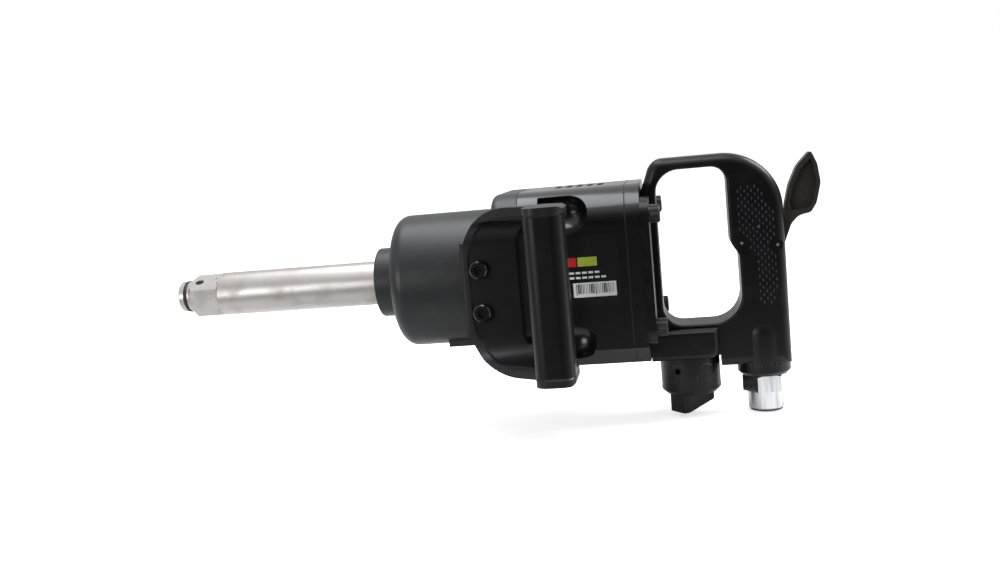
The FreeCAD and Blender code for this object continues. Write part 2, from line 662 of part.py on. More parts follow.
def make_hammer(label, start, pivot):
    """A ring that hangs on one pin and rocks past the other; its inner notch strikes the anvil's jaw."""
    body = new_body(label)
    turned(body, "X", [(start, "hammer_bore_d / 2"), (start, "hammer_d / 2"),
                       (f"{start} + hammer_width", "hammer_d / 2"), (f"{start} + hammer_width", "hammer_bore_d / 2")])
    past = f"{start} + hammer_width + 1"
    bar(body, "Subtractive", "X", f"{start} - 1", past, "hammer_pin_d / 2 + running",
        ("0", f"{pivot}hammer_pin_offset"))
    other = "-" if pivot == "" else ""
    for across in ("-2.5", "0", "2.5"):
        bar(body, "Subtractive", "X", f"{start} - 1", past, "hammer_pin_d / 2 + running",
            (across, f"{other}hammer_pin_offset"))
    block(body, "Subtractive", (f"{start} - 1", "hammer_bore_d / 2 - 4", "-9"),
          (past, "hammer_bore_d / 2 + 4", "9"))
    keep(body, label)


def make_hammer_pins():
    body = new_body("hammer_pin")
    bar(body, "Additive", "X", "cage_x + 1.5", "cage_rear + 5.5", "hammer_pin_d / 2 - running / 2")
    group("hammer_pins", copies(body, [("0", "0", "-hammer_pin_offset"), ("0", "0", "hammer_pin_offset")]))


# ---------------------------------------------------------------- motor

def make_rotor():
    body = new_body("rotor")
    rotor_r = "rotor_d / 2"
    turned(body, "X", [
        ("pilot_end + 2", "0"), ("pilot_end + 2", "hex_drive / 2 - 1"), ("motor_x + 1", "hex_drive / 2 - 1"),
        ("motor_x + 1", "front_journal_d / 2"),
        ("liner_x + air / 2", "front_journal_d / 2"), ("liner_x + air / 2", rotor_r),
        ("liner_back - air / 2", rotor_r), ("liner_back - air / 2", "rear_journal_d / 2"),
        ("motor_back - 1", "rear_journal_d / 2"), ("motor_back - 1", "0"),
    ])
    hexagon(body, "Additive", "X", "pilot_end + 2", "motor_x + 1", "hex_drive")
    half = "vane_thickness / 2 + running"
    slot = pad(body, "YZ_Plane", [(f"-({half})", "vane_root - 0.4"), (half, "vane_root - 0.4"),
                                  (half, "rotor_d"), (f"-({half})", "rotor_d")],
               "motor_length", lift="liner_back + 2", action="Pocket")
    spread = body.newObject("PartDesign::PolarPattern", "VaneSlots")
    spread.Originals = [slot]
    spread.Axis = (base_plane(body, "X_Axis"), [""])
    spread.Angle = 360
    bind(spread, Occurrences="vane_count")
    body.Tip = spread
    doc.recompute()
    keep(body, "rotor")


def make_vanes():
    body = new_body("vane")
    half = "vane_thickness / 2"
    block(body, "Additive", ("liner_x + air / 2", f"-{half}", "vane_root"),
          ("liner_back - air / 2", half, "rotor_d / 2"))
    group("rotor_vanes", spread_about_spindle(body, int(value("vane_count"))))


def make_liner():
    """Cylinder liner: round outside, with the bore set above the spindle, and ports top and bottom."""
    body = new_body("cylinder_liner")
    bar(body, "Additive", "X", "liner_x", "liner_back", "liner_d / 2 - loose")
    bar(body, "Subtractive", "X", "liner_x - 1", "liner_back + 1", "liner_bore_d / 2", ("0", "liner_offset"))
    bar(body, "Subtractive", "X", "liner_x - 1", "liner_back + 1", "dowel_d / 2", ("0", "dowel_z"))
    middle = "(liner_x + liner_back) / 2"
    for step in (-1, 0, 1):
        bar(body, "Subtractive", "Y", "-liner_d", "liner_d", "3", (f"{middle} + {step} * 14", "6"))
    keep(body, "cylinder_liner")


def make_end_plates():
    body = new_body("front_end_plate")
    turned(body, "X", [
        ("motor_x", "front_bearing_d / 2"), ("motor_x", "end_plate_rim_d / 2 - loose"),
        ("motor_x + end_plate_rim", "end_plate_rim_d / 2 - loose"), ("motor_x + end_plate_rim", "liner_d / 2 - loose"),
        ("liner_x", "liner_d / 2 - loose"), ("liner_x", "front_journal_d / 2 + 1"),
        ("motor_x + bearing_width", "front_journal_d / 2 + 1"), ("motor_x + bearing_width", "front_bearing_d / 2"),
    ])
    bar(body, "Subtractive", "X", "liner_x - 4", "liner_x + 1", "dowel_d / 2", ("0", "dowel_z"))
    keep(body, "front_end_plate")
    body = new_body("rear_end_plate")
    turned(body, "X", [
        ("liner_back", "rear_journal_d / 2 + 1"), ("liner_back", "liner_d / 2 - loose"),
        ("motor_back", "liner_d / 2 - loose"), ("motor_back", "rear_bearing_d / 2"),
        ("motor_back - bearing_width", "rear_bearing_d / 2"),
        ("motor_back - bearing_width", "rear_journal_d / 2 + 1"),
    ])
    bar(body, "Subtractive", "X", "liner_back - 1", "liner_back + 4", "dowel_d / 2", ("0", "dowel_z"))
    keep(body, "rear_end_plate")


def make_bearing(label, start, bore, outside):
    """A ball bearing: two grooved rings and nine balls."""
    middle, end = f"{start} + bearing_width / 2", f"{start} + bearing_width"
    pitch = f"({bore} / 2 + running + {outside} / 2 - loose) / 2"
    ball_r = f"({outside} - {bore}) / 8"
    rings = []
    for inner, outer in ((f"{bore} / 2 + running", f"{pitch} - ({ball_r}) * 0.5"),
                         (f"{pitch} + ({ball_r}) * 0.5", f"{outside} / 2 - loose")):
        race = new_body(label + "_race")
        turned(race, "X", [(start, inner), (start, outer), (end, outer), (end, inner)])
        groove = race.newObject("PartDesign::SubtractiveTorus", "Groove")
        groove.Placement = FreeCAD.Placement(ORIGIN, STAND["X"])
        bind(groove, Radius1=pitch, Radius2=f"({ball_r}) + running")
        place(groove, (middle, "0", "0"))
        rings.append(race)
    one_ball = new_body(label + "_ball")
    ball(one_ball, "Additive", (middle, "0", pitch), ball_r)
    group(label, rings + spread_about_spindle(one_ball, 9))


def make_dowel():
    body = new_body("dowel_pin")
    bar(body, "Additive", "X", "liner_x - 3.5", "liner_back + 3.5", "dowel_d / 2 - loose", ("0", "dowel_z"))
    keep(body, "dowel_pin")


def make_motor_housing():
    body = new_body("motor_housing")
    housing_section(body, "motor_x", "motor_back")
    belly_section(body, "belly_x", "motor_back")
    dress(body, in_plane("X", "belly_x", lambda centre: centre.z < value("-housing_top")), "belly_front_radius")
    bar(body, "Subtractive", "X", "motor_x - 1", "motor_back + 1", "liner_d / 2")
    bar(body, "Subtractive", "X", "motor_x - 1", "motor_x + end_plate_rim", "end_plate_rim_d / 2")
    # The exhaust chamber in the belly is open towards the back plate.
    block(body, "Subtractive", ("belly_x + 8", "-belly_half_width + 6", "-belly_depth + 5"),
          ("motor_back + 1", "belly_half_width - 6", "-liner_d / 2 - 6"))
    for side in ("-", ""):
        for up in ("-", ""):
            centre = (f"{side}scoop_y", f"{up}scoop_z")
            bar(body, "Subtractive", "X", "scoop_x", "scoop_x + scoop_run", "scoop_radius", centre)
            ball(body, "Subtractive", ("scoop_x + scoop_run", *centre), "scoop_radius")
            bar(body, "Subtractive", "X", "motor_x - 1", "scoop_x + 1", "screw_d / 2",
                (f"{side}case_bolt_y", f"{up}case_bolt_z"))
        for level in ("-handle_bolt_down", "handle_bolt_up"):
            bar(body, "Subtractive", "X", "motor_back - 17", "motor_back + 1", "screw_d / 2",
                (f"{side}handle_bolt_y", level))
    for number in range(int(value("vent_count"))):
        start = f"vent_x - vent_width / 2 + vent_pitch * {number}"
        block(body, "Subtractive", (start, "-vent_length / 2", "housing_top - vent_depth"),
              (f"{start} + vent_width", "vent_length / 2", "housing_top + 1"))
    keep(body, "motor_housing")


def make_silencer():
    body = new_body("exhaust_silencer")
    block(body, "Additive", ("belly_x + 8", "-belly_half_width + 7", "-belly_depth + 5"),
          ("motor_back - 12", "belly_half_width - 7", "-liner_d / 2 - 12"))
    keep(body, "exhaust_silencer")


def make_gaskets():
    body = new_body("front_gasket")
    housing_section(body, "seam_x", "motor_x")
    bar(body, "Subtractive", "X", "seam_x - 1", "motor_x + 1", "end_plate_rim_d / 2")
    for across in ("-case_bolt_y", "case_bolt_y"):
        for up in ("-case_bolt_z", "case_bolt_z"):
            bar(body, "Subtractive", "X", "seam_x - 1", "motor_x + 1", "screw_d / 2", (across, up))
    keep(body, "front_gasket")
    body = new_body("rear_gasket")
    housing_section(body, "motor_back", "plate_x")
    belly_section(body, "motor_back", "plate_x")
    bar(body, "Subtractive", "X", "motor_back - 1", "plate_x + 1", "liner_d / 2")
    handle_bolt_holes(body, "motor_back", "plate_x")
    keep(body, "rear_gasket")


def handle_bolt_holes(body, front, back):
    for across in ("-handle_bolt_y", "handle_bolt_y"):
        for up in ("-handle_bolt_down", "handle_bolt_up"):
            bar(body, "Subtractive", "X", f"{front} - 1", f"{back} + 1", "screw_d / 2", (across, up))


def make_back_plate():
    body = new_body("back_plate")
    housing_section(body, "plate_x", "handle_x")
    belly_section(body, "plate_x", "handle_x")
    bar(body, "Subtractive", "X", "plate_x - 1", "plate_x + 4", "rear_journal_d / 2 + 3")
    bar(body, "Subtractive", "X", "plate_x - 1", "handle_x + 1", "passage_d / 2", ("0", "passage_z"))
    handle_bolt_holes(body, "plate_x", "handle_x")
    keep(body, "back_plate")


def make_bolts():
    bolt = cap_screw("case_bolt", "scoop_wall + gasket + 14", "screw_d")
    group("case_bolts", copies(bolt, [("scoop_x", f"{side}case_bolt_y", f"{up}case_bolt_z")
                                      for side in ("-", "") for up in ("-", "")]))
    bolt = cap_screw("handle_bolt", "handle_flange + back_plate + gasket + 16", "screw_d")
    group("handle_bolts", copies(bolt, [("flange_back", f"{side}handle_bolt_y", level)
                                        for side in ("-", "") for level in ("-handle_bolt_down", "handle_bolt_up")]))


# ---------------------------------------------------------------- D-handle

def make_d_handle():
    """One casting: flange, top bar, grip, valve block and inlet boss, with the air passages bored in it."""
    body = new_body("d_handle")
    block(body, "Additive", ("handle_x", "-block_width / 2", "block_bottom"),
          ("block_back", "block_width / 2", "opening_bottom - 2.5"))
    dress(body, corner_at("Y", ("block_back", "block_bottom")), "8")
    dress(body, lambda edge: abs(edge.CenterOfMass.y) > value("block_width / 2 - 1")
          and edge.CenterOfMass.x > value("handle_x + 1"), "4")
    top_corner = ("handle_x + 9", "handle_top")
    sweep = ("handle_back", "handle_top")
    foot = ("handle_back", "bridge_bottom")
    pad(body, "XZ_Plane", [
        ("handle_x", "block_bottom + 1"), ("handle_x", "flange_half_height + 3"), top_corner, sweep, foot,
        ("block_back + 2", "bridge_bottom"), ("block_back + 2", "block_bottom + 1"),
    ], "grip_width", middle=True)
    dress(body, corner_at("Y", sweep), "grip_sweep")
    dress(body, corner_at("Y", top_corner), "12")
    opening = [
        ("opening_front", "opening_bottom"), ("opening_front", "opening_top"), ("opening_back", "opening_top"),
        ("opening_back", "knuckle_top"), ("opening_back + knuckle", "knuckle_bottom"),
        ("opening_back + knuckle", "opening_bottom"),
    ]
    pad(body, "XZ_Plane", opening, "grip_width + 2", middle=True, action="Pocket")
    dress(body, corner_at("Y", opening[0]), "15")
    dress(body, corner_at("Y", opening[1]), "18")
    dress(body, corner_at("Y", opening[2]), "12")
    dress(body, corner_at("Y", opening[3], opening[4]), "8")
    dress(body, corner_at("Y", opening[5]), "22")
    inner = (value("opening_front - 1"), value("opening_back + knuckle + 1"))
    middle_z = value("(opening_top + opening_bottom) / 2")
    reach = value("(opening_top - opening_bottom) / 2 + 1")

    def around_opening(centre):
        return inner[0] < centre.x < inner[1] and abs(centre.z - middle_z) < reach

    def on_side(test):
        return lambda edge: any(in_plane("Y", f"{side}grip_width / 2", test)(edge) for side in ("-", ""))

    dress(body, on_side(lambda centre: centre.x > value("block_back + 3") and not around_opening(centre)
                        or centre.z > value("opening_top + 1")), "grip_round")
    dress(body, on_side(around_opening), "1.8")
    flange_corners = [(f"{side}flange_half_width", f"{up}flange_half_height") for side, up in
                      (("-", "-"), ("", "-"), ("", ""), ("-", ""))]
    pad(body, "YZ_Plane", flange_corners, "handle_flange", lift="handle_x")
    dress(body, corner_at("X", *flange_corners), "12")
    boss_x = ("inlet_x", "0")
    bar(body, "Additive", "Z", "boss_bottom", "boss_dome", "boss_d / 2", boss_x)
    dress(body, ring_at("boss_bottom", "boss_d / 2", "Z"), "2.6", "Chamfer")
    ball(body, "Additive", ("inlet_x", "0", "boss_dome"), "boss_d / 2")
    for rim, spot in (("2", ("lever_x", "lever_z")), ("2.4", ("cross_pin_x", "cross_pin_z"))):
        bar(body, "Additive", "Y", "-grip_width / 2 - 0.8", "grip_width / 2 + 0.8", f"lever_pin_d / 2 + {rim}", spot)
    # Lever slot, open to the rear, and the holes for the pins across the grip.
    block(body, "Subtractive", ("inlet_x - 6.5", "-lever_slot / 2", "stem_top - 6"),
          ("handle_back + 1", "lever_slot / 2", "lever_z + 10"))
    block(body, "Subtractive", ("handle_back - 6", "-lever_slot / 2", "stem_top - 6"),
          ("handle_back + 1", "lever_slot / 2", "lever_z + 46"))
    wide = ("-grip_width", "grip_width")
    bar(body, "Subtractive", "Y", *wide, "lever_pin_d / 2", ("lever_x", "lever_z"))
    bar(body, "Subtractive", "Y", *wide, "lever_pin_d / 2", ("cross_pin_x", "cross_pin_z"))
    bar(body, "Subtractive", "Y", *wide, "lock_pin_d / 2", ("lock_pin_x", "lock_pin_z"))
    # Throttle bores, from the bottom: bushing thread with the seat above it, air chamber, stem.
    bar(body, "Subtractive", "Z", "boss_bottom - 1", "seat_top", "inlet_thread_d / 2", boss_x)
    bar(body, "Subtractive", "Z", "boss_bottom", "chamber_top", "chamber_bore_d / 2", boss_x)
    bar(body, "Subtractive", "Z", "chamber_top - 1", "stem_top - 5", "stem_d / 2 + 2.5", boss_x)
    # Reverse valve bore, and the passages that join inlet, reverse valve and motor.
    bar(body, "Subtractive", "Z", "block_bottom - 1", "reverse_top", "reverse_bore_d / 2", ("reverse_x", "0"))
    bar(body, "Subtractive", "X", "handle_x - 1", "inlet_x", "passage_d / 2", ("0", "passage_z"))
    handle_bolt_holes(body, "handle_x", "flange_back")
    for side in ("-", ""):
        for level in ("-handle_bolt_down", "handle_bolt_up"):
            bar(body, "Subtractive", "X", "flange_back", "flange_back + 12", "screw_head_d / 2 + 1",
                (f"{side}handle_bolt_y", level))
    keep(body, "d_handle")


def make_lever():
    """Throttle lever: a foot over the valve stem, a ring round the pin and a leaf-shaped blade."""
    body = new_body("throttle_lever", ("lever_x", "0", "lever_z"))
    blade = [("5", "-3.5"), ("12", "14"), ("17.5", "19.5"), ("26.5", "21.2"), ("31", "28"), ("34.6", "43"),
             ("32.8", "57"), ("28.5", "67"), ("18", "56.5"), ("11.5", "42.5"), ("8", "28"), ("6.5", "14"), ("-1", "6")]
    pad(body, "XZ_Plane", blade, "lever_width", middle=True)
    dress(body, corner_at("Y", *blade[1:3]), "10")
    dress(body, corner_at("Y", blade[3]), "4")
    dress(body, corner_at("Y", *blade[4:7]), "12")
    dress(body, corner_at("Y", blade[7]), "1.5")
    dress(body, corner_at("Y", *blade[8:10]), "20")
    hollow = [("12.5", "24"), ("17.5", "23.4"), ("25.5", "24.5"), ("29", "31"), ("31.6", "43"), ("29.6", "57"),
              ("28", "61"), ("21", "54.5"), ("14.8", "42.5"), ("11.4", "30")]
    for start in ("lever_width / 2 + 1", "-lever_web / 2"):
        pad(body, "XZ_Plane", hollow, "(lever_width - lever_web) / 2 + 1", lift=start, action="Pocket")
    bar(body, "Additive", "Y", "-lever_width / 2", "lever_width / 2", "5.5")
    pad(body, "XZ_Plane", [("-17", "stem_top + air / 2 - lever_z"), ("-17", "-1.5"), ("-4", "5"), ("4", "-5.5"),
                           ("-10", "stem_top + air / 2 - lever_z")], "lever_width", middle=True)
    bar(body, "Subtractive", "Y", "-lever_width", "lever_width", "lever_pin_d / 2 + running")
    keep(body, "throttle_lever")


def make_grip_pins():
    length = ("-grip_width / 2 - 0.4", "grip_width / 2 + 0.4")
    for label, spot in (("lever_pin", ("lever_x", "lever_z")), ("cross_pin", ("cross_pin_x", "cross_pin_z"))):
        body = new_body(label)
        bar(body, "Additive", "Y", *length, "lever_pin_d / 2", spot)
        for start, end in (("-grip_width", "-grip_width / 2"), ("grip_width / 2", "grip_width")):
            bar(body, "Subtractive", "Y", start, end, "lever_pin_d / 4", spot)
        keep(body, label)
    body = new_body("lock_pin")
    bar(body, "Additive", "Y", *length, "lock_pin_d / 2", ("lock_pin_x", "lock_pin_z"))
    keep(body, "lock_pin")


def make_inlet():
    at = ("inlet_x", "0", "0")
    bore = "inlet_bore_d / 2"
    body = new_body("inlet_bushing", at)
    hexagon(body, "Additive", "Z", "boss_bottom - inlet_hex_height", "boss_bottom", "inlet_hex")
    turned(body, "Z", [("boss_bottom", "inlet_hex / 2"), ("boss_bottom", "inlet_hex * 0.6"),
                       ("boss_bottom - 1.6", "inlet_hex * 0.6")], "Groove")
    bar(body, "Additive", "Z", "boss_bottom - 1", "bushing_top", "inlet_thread_d / 2 - loose")
    bar(body, "Additive", "Z", "collar_bottom", "boss_bottom - inlet_hex_height + 1", "collar_d / 2")
    dress(body, ring_at("collar_bottom", "collar_d / 2", "Z"), "1", "Chamfer")
    bar(body, "Subtractive", "Z", "collar_bottom - 1", "collar_bottom + 24", bore)
    bar(body, "Subtractive", "Z", "collar_bottom", "bushing_top + 1", "7")
    bar(body, "Subtractive", "Z", "screen_z", "bushing_top + 1", "8.9")
    turn_body(body, FreeCAD.Vector(0, 0, 1), "inlet_turn")
    keep(body, "inlet_bushing")
    ring("inlet_seal", "collar_bottom - 1.2", "collar_bottom", f"{bore} + 1", "collar_d / 2 - 1.4", "Z", at)
    body = new_body("inlet_screen", at)
    bar(body, "Additive", "Z", "screen_z", "screen_z + 1.2", "8.8")
    for radius, count in ((2.4, 6), (5.4, 12)):
        for number in range(count):
            angle = math.tau * number / count
            across, along = radius * math.cos(angle), radius * math.sin(angle)
            bar(body, "Subtractive", "Z", "screen_z - 1", "screen_z + 2", "0.9", (f"{across:.3f}", f"{along:.3f}"))
    keep(body, "inlet_screen")


def make_throttle():
    at = ("inlet_x", "0", "0")
    ring("valve_seat", "bushing_top", "seat_top - loose", "seat_bore_d / 2", "inlet_thread_d / 2 - loose", "Z", at)
    ring("stem_bushing", "chamber_top + 0.2", "chamber_top + 14", "stem_d / 2 + running", "stem_d / 2 + 2.5 - loose",
         "Z", at)
    body = new_body("throttle_valve", at)
    head = "bushing_top - 0.1"
    turned(body, "Z", [
        (f"{head} - 3", "0"), (f"{head} - 3", "valve_d / 2"), (head, "valve_d / 2"), (head, "stem_d / 2 + 2"),
        (f"{head} + 3", "stem_d / 2"), ("stem_top", "stem_d / 2"), ("stem_top", "0"),
    ])
    keep(body, "throttle_valve")
    turns, coil, wire = 3.5, "6.2", "0.7"
    helix = doc.addObject("Part::Helix", "SpringPath")
    helix.SegmentLength = 1
    bind(helix, Radius=coil, Height="bushing_top - screen_z - 5.8", Pitch=f"(bushing_top - screen_z - 5.8) / {turns}")
    section = doc.addObject("Part::Circle", "SpringWire")
    bind(section, Radius=wire)
    section.Placement = FreeCAD.Placement(ORIGIN, FreeCAD.Rotation(FreeCAD.Vector(1, 0, 0), 90))
    place(section, (coil, "0", "0"))
    spring = doc.addObject("Part::Sweep", "valve_spring")
    spring.Sections = [section]
    spring.Spine = (helix, [])
    spring.Solid = True
    spring.Frenet = True
    place(spring, ("inlet_x", "0", "screen_z + 1.95"))
    doc.recompute()
    keep(spring, "valve_spring")


# ---------------------------------------------------------------- reverse valve

def make_reverse():
    at = ("reverse_x", "0", "0")
    body = new_body("reverse_valve", at)
    valve_r = "reverse_bore_d / 2 - running"
    bar(body, "Additive", "Z", "knob_top", "reverse_top - air", valve_r)
    bar(body, "Subtractive", "X", "-reverse_bore_d", "reverse_bore_d", "passage_d / 2", ("0", "passage_z"))
    bar(body, "Subtractive", "Y", "0", "reverse_bore_d", "passage_d / 2 - 1", ("0", "passage_z"))
    bar(body, "Subtractive", "Z", "block_bottom - 1", "block_bottom + knob_screw_reach + air", "2.5")
    keep(body, "reverse_valve")
    body = new_body("reverse_knob", at)
    pad(body, "XZ_Plane", [
        ("-tab_length / 2", "skirt_bottom + 1"), ("-tab_length / 2", "skirt_bottom - tab_drop"),
        ("tab_length / 2", "skirt_bottom - tab_drop + tab_slope"), ("tab_length / 2", "skirt_bottom + 1"),
    ], "tab_width", middle=True)
    dress(body, corner_at("Z", *[(f"{side}tab_length / 2", f"{across}tab_width / 2")
                                 for side in ("-", "") for across in ("-", "")]), "5")
    bar(body, "Additive", "Z", "skirt_bottom", "knob_top", "knob_d / 2")
    dress(body, ring_at("skirt_bottom", "knob_d / 2", "Z"), "3.2", "Chamfer")
    bar(body, "Subtractive", "Z", "skirt_bottom - tab_drop - 1", "skirt_bottom + 6", "5.2")
    bar(body, "Subtractive", "Z", "skirt_bottom", "knob_top + 1", "2.6")
    bar(body, "Subtractive", "Z", "knob_top - 6", "knob_top + 1", "2.1", ("0", "-detent_offset"))
    drill = body.newObject("PartDesign::SubtractiveCylinder", "SetScrewHole")
    bind(drill, Radius="knob_hole_d / 2", Height="6")
    round_knob = FreeCAD.Rotation(FreeCAD.Vector(0, 0, 1), value("knob_hole_turn"))
    drill.Placement = FreeCAD.Placement(ORIGIN, round_knob * STAND["X"])
    place(drill, ("(knob_d / 2 - 5) * cos(knob_hole_turn)", "(knob_d / 2 - 5) * sin(knob_hole_turn)",
                  "knob_top - knob_hole_down"))
    doc.recompute()
    turn_body(body, FreeCAD.Vector(0, 0, 1), "knob_turn")
    keep(body, "reverse_knob")
    body = new_body("knob_screw", at)
    turned(body, "Z", [
        ("skirt_bottom + 1.5", "0"), ("skirt_bottom + 1.5", "4.25"), ("skirt_bottom + 6", "4.25"),
        ("skirt_bottom + 6", "2.4"), ("block_bottom + knob_screw_reach", "2.4"), ("block_bottom + knob_screw_reach", "0"),
    ])
    hexagon(body, "Subtractive", "Z", "skirt_bottom", "skirt_bottom + 4", "4")
    keep(body, "knob_screw")
    under_detent = ("reverse_x + detent_offset * sin(knob_turn)", "-detent_offset * cos(knob_turn)", "0")
    body = new_body("detent_ball", under_detent)
    ball(body, "Additive", ("0", "0", "knob_top - 2.05"), "2")
    keep(body, "detent_ball")
    ring("detent_spring", "knob_top - 5.9", "knob_top - 4.1", "1.1", "1.9", "Z", under_detent)


# ---------------------------------------------------------------- side handle

def make_side_handle():
    """A leaning ring: a flat web on the case's pad, two arms swept back and a grip bar across them."""
    body = new_body("SweptRing")
    band = [("pad_y", "ring_bottom"), ("pad_y", "ring_top"), ("bar_outer + bar_round", "ring_top"),
            ("bar_outer + bar_round", "ring_bottom")]
    pad(body, "YZ_Plane", band, "bar_back - web_front", lift="web_front")
    dress(body, corner_at("X", *band[:2]), "ring_corner")
    hollow = [("web_face", "ring_bottom + arm"), ("web_face", "ring_top - arm"), ("bar_outer - 5", "ring_top - arm"),
              ("bar_outer - 5", "ring_bottom + arm")]
    pad(body, "YZ_Plane", hollow, "bar_back - web_front + 2", lift="bar_back + 1", action="Pocket")
    dress(body, corner_at("X", *hollow[:2]), "ring_corner - arm")
    # The band is cut to its swept plan: in front of its leading edge and behind its trailing edge.
    front_cut = [("web_front - 5", "web_face - 2"), ("web_front", "web_face - 2"), ("bar_front", "bar_inner"),
                 ("bar_front", "bar_outer - 5"), ("web_front - 5", "bar_outer - 5")]
    back_cut = [("web_back", "pad_y + 5"), ("web_back", "web_face + 3"), ("bar_back", "bar_inner + 8"),
                ("bar_back + 5", "bar_inner + 8"), ("bar_back + 5", "pad_y + 5")]
    for cut in (front_cut, back_cut):
        pad(body, "XY_Plane", cut, "3 * ring_half_height", middle=True, action="Pocket")
    dress(body, in_plane("X", "web_front"), "2")
    # The web is thinner where it passes over the case's flange.
    block(body, "Subtractive", ("flange_x - air", "-housing_half_width - air", "ring_bottom"),
          ("web_back + 1", "pad_y + 1", "ring_top"))
    # The grip bar: two crossed blocks with a round bar in each corner.
    block(body, "Additive", ("bar_front", "bar_outer + bar_round", "ring_bottom"),
          ("bar_back", "bar_inner - bar_round", "ring_top"))
    block(body, "Additive", ("bar_front + bar_round", "bar_outer", "ring_bottom"),
          ("bar_back - bar_round", "bar_inner", "ring_top"))
    for along in ("bar_front + bar_round", "bar_back - bar_round"):
        for across in ("bar_outer + bar_round", "bar_inner - bar_round"):
            bar(body, "Additive", "Z", "ring_bottom", "ring_top", "bar_round", (along, across))
    for side in ("-", "+"):
        up = f"ring_z {side} ring_screw_gap / 2"
        bar(body, "Subtractive", "Y", "web_face - 1", "pad_y + 1", "screw_d / 2", ("ring_screw_x", up))
    # Seen from the side, the ring's front corners are well rounded.
    outline_body = new_body("SideOutline")
    corners = [("web_front", "ring_bottom"), ("web_front", "ring_top"), ("bar_back + 1", "ring_top"),
               ("bar_back + 1", "ring_bottom")]
    pad(outline_body, "XZ_Plane", corners, "pad_y - bar_outer + 1", lift="-pad_y")
    dress(outline_body, corner_at("Y", *corners[:2]), "ring_sweep")
    dress(outline_body, corner_at("Y", *corners[2:]), "bar_end_round + 1")
    trimmed = doc.addObject("Part::Common", "side_handle")
    trimmed.Base, trimmed.Tool = body, outline_body
    doc.recompute()
    keep(trimmed, "side_handle")
    screw = cap_screw("side_screw", "arm + 9", "5")
    outward = FreeCAD.Rotation(FreeCAD.Vector(0, 0, 1), -90)
    spots = [("ring_screw_x", "web_face", f"ring_z {side} ring_screw_gap / 2") for side in ("-", "+")]
    group("side_handle_screws", copies(screw, spots, [outward, outward]))


def make_label():
    body = new_body("label")
    corners = [("label_x", "label_low"), ("label_x + label_length", "label_low"),
               ("label_x + label_length", "label_high"), ("label_x", "label_high")]
    pad(body, "XZ_Plane", corners, "label_thickness", lift="housing_half_width")
    dress(body, corner_at("Y", *corners), "4")
    keep(body, "label")


def check_document():
    """Stop if any object failed, or if a sub-part has no sound shape."""
    for thing in doc.Objects:
        if any(word in ("Invalid", "Error") for word in thing.State):
            raise ValueError(f"{thing.Label}: {thing.State}")
    for node in nodes:
        if node.Shape.isNull() or not node.Shape.isValid():
            raise ValueError(f"{node.Label}: no sound shape")


def write_parts():
    os.makedirs("parts", exist_ok=True)
    for node in nodes:
        node.Shape.exportStep(f"parts/{node.Label}.step")
        print(f"{node.Label:20s} solids {len(node.Shape.Solids):2d}  volume {node.Shape.Volume:10.1f}")


fill_sheet()
for make in (
    make_anvil, make_socket_ring, make_hammer_case, make_nose_parts, make_hammer_cage,
    lambda: make_hammer("front_hammer", "hammer_a", ""), lambda: make_hammer("rear_hammer", "hammer_b", "-"),
    make_hammer_pins, make_rotor, make_vanes, make_liner, make_end_plates,
    lambda: make_bearing("front_bearing", "motor_x", "front_journal_d", "front_bearing_d"),
    lambda: make_bearing("rear_bearing", "motor_back - bearing_width", "rear_journal_d", "rear_bearing_d"),
    make_dowel, make_motor_housing, make_silencer, make_gaskets, make_back_plate, make_bolts, make_d_handle,
    make_lever, make_grip_pins, make_inlet, make_throttle, make_reverse, make_side_handle, make_label,
):
    make()
doc.recompute()
check_document()
write_parts()
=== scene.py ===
"""Studio scene of a straight air impact wrench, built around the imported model."""
import json
import math

import bpy
import numpy as np
from mathutils import Matrix, Vector


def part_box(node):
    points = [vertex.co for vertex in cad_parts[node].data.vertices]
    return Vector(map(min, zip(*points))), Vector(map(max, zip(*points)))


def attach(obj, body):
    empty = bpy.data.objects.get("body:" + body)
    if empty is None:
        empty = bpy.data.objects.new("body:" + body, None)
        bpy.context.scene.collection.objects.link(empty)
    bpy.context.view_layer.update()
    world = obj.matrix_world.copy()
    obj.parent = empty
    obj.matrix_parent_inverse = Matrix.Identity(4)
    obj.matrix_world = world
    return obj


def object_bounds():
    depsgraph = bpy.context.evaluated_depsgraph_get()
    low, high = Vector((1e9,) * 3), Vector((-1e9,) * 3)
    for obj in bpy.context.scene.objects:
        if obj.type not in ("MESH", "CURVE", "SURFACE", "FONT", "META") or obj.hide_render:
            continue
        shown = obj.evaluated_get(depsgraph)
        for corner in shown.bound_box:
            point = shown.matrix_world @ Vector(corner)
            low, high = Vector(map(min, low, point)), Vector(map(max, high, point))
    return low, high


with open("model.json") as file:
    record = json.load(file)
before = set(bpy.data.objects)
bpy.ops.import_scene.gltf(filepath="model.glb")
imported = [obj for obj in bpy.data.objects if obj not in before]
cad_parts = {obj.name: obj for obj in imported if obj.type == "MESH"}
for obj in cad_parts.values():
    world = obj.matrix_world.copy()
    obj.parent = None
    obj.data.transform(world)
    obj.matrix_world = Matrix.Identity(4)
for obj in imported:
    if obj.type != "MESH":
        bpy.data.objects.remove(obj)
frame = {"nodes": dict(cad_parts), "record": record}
cad_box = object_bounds()
nodes = frame["nodes"]
scene = bpy.context.scene
MM = 0.001


# ---------------------------------------------------------------- finishes

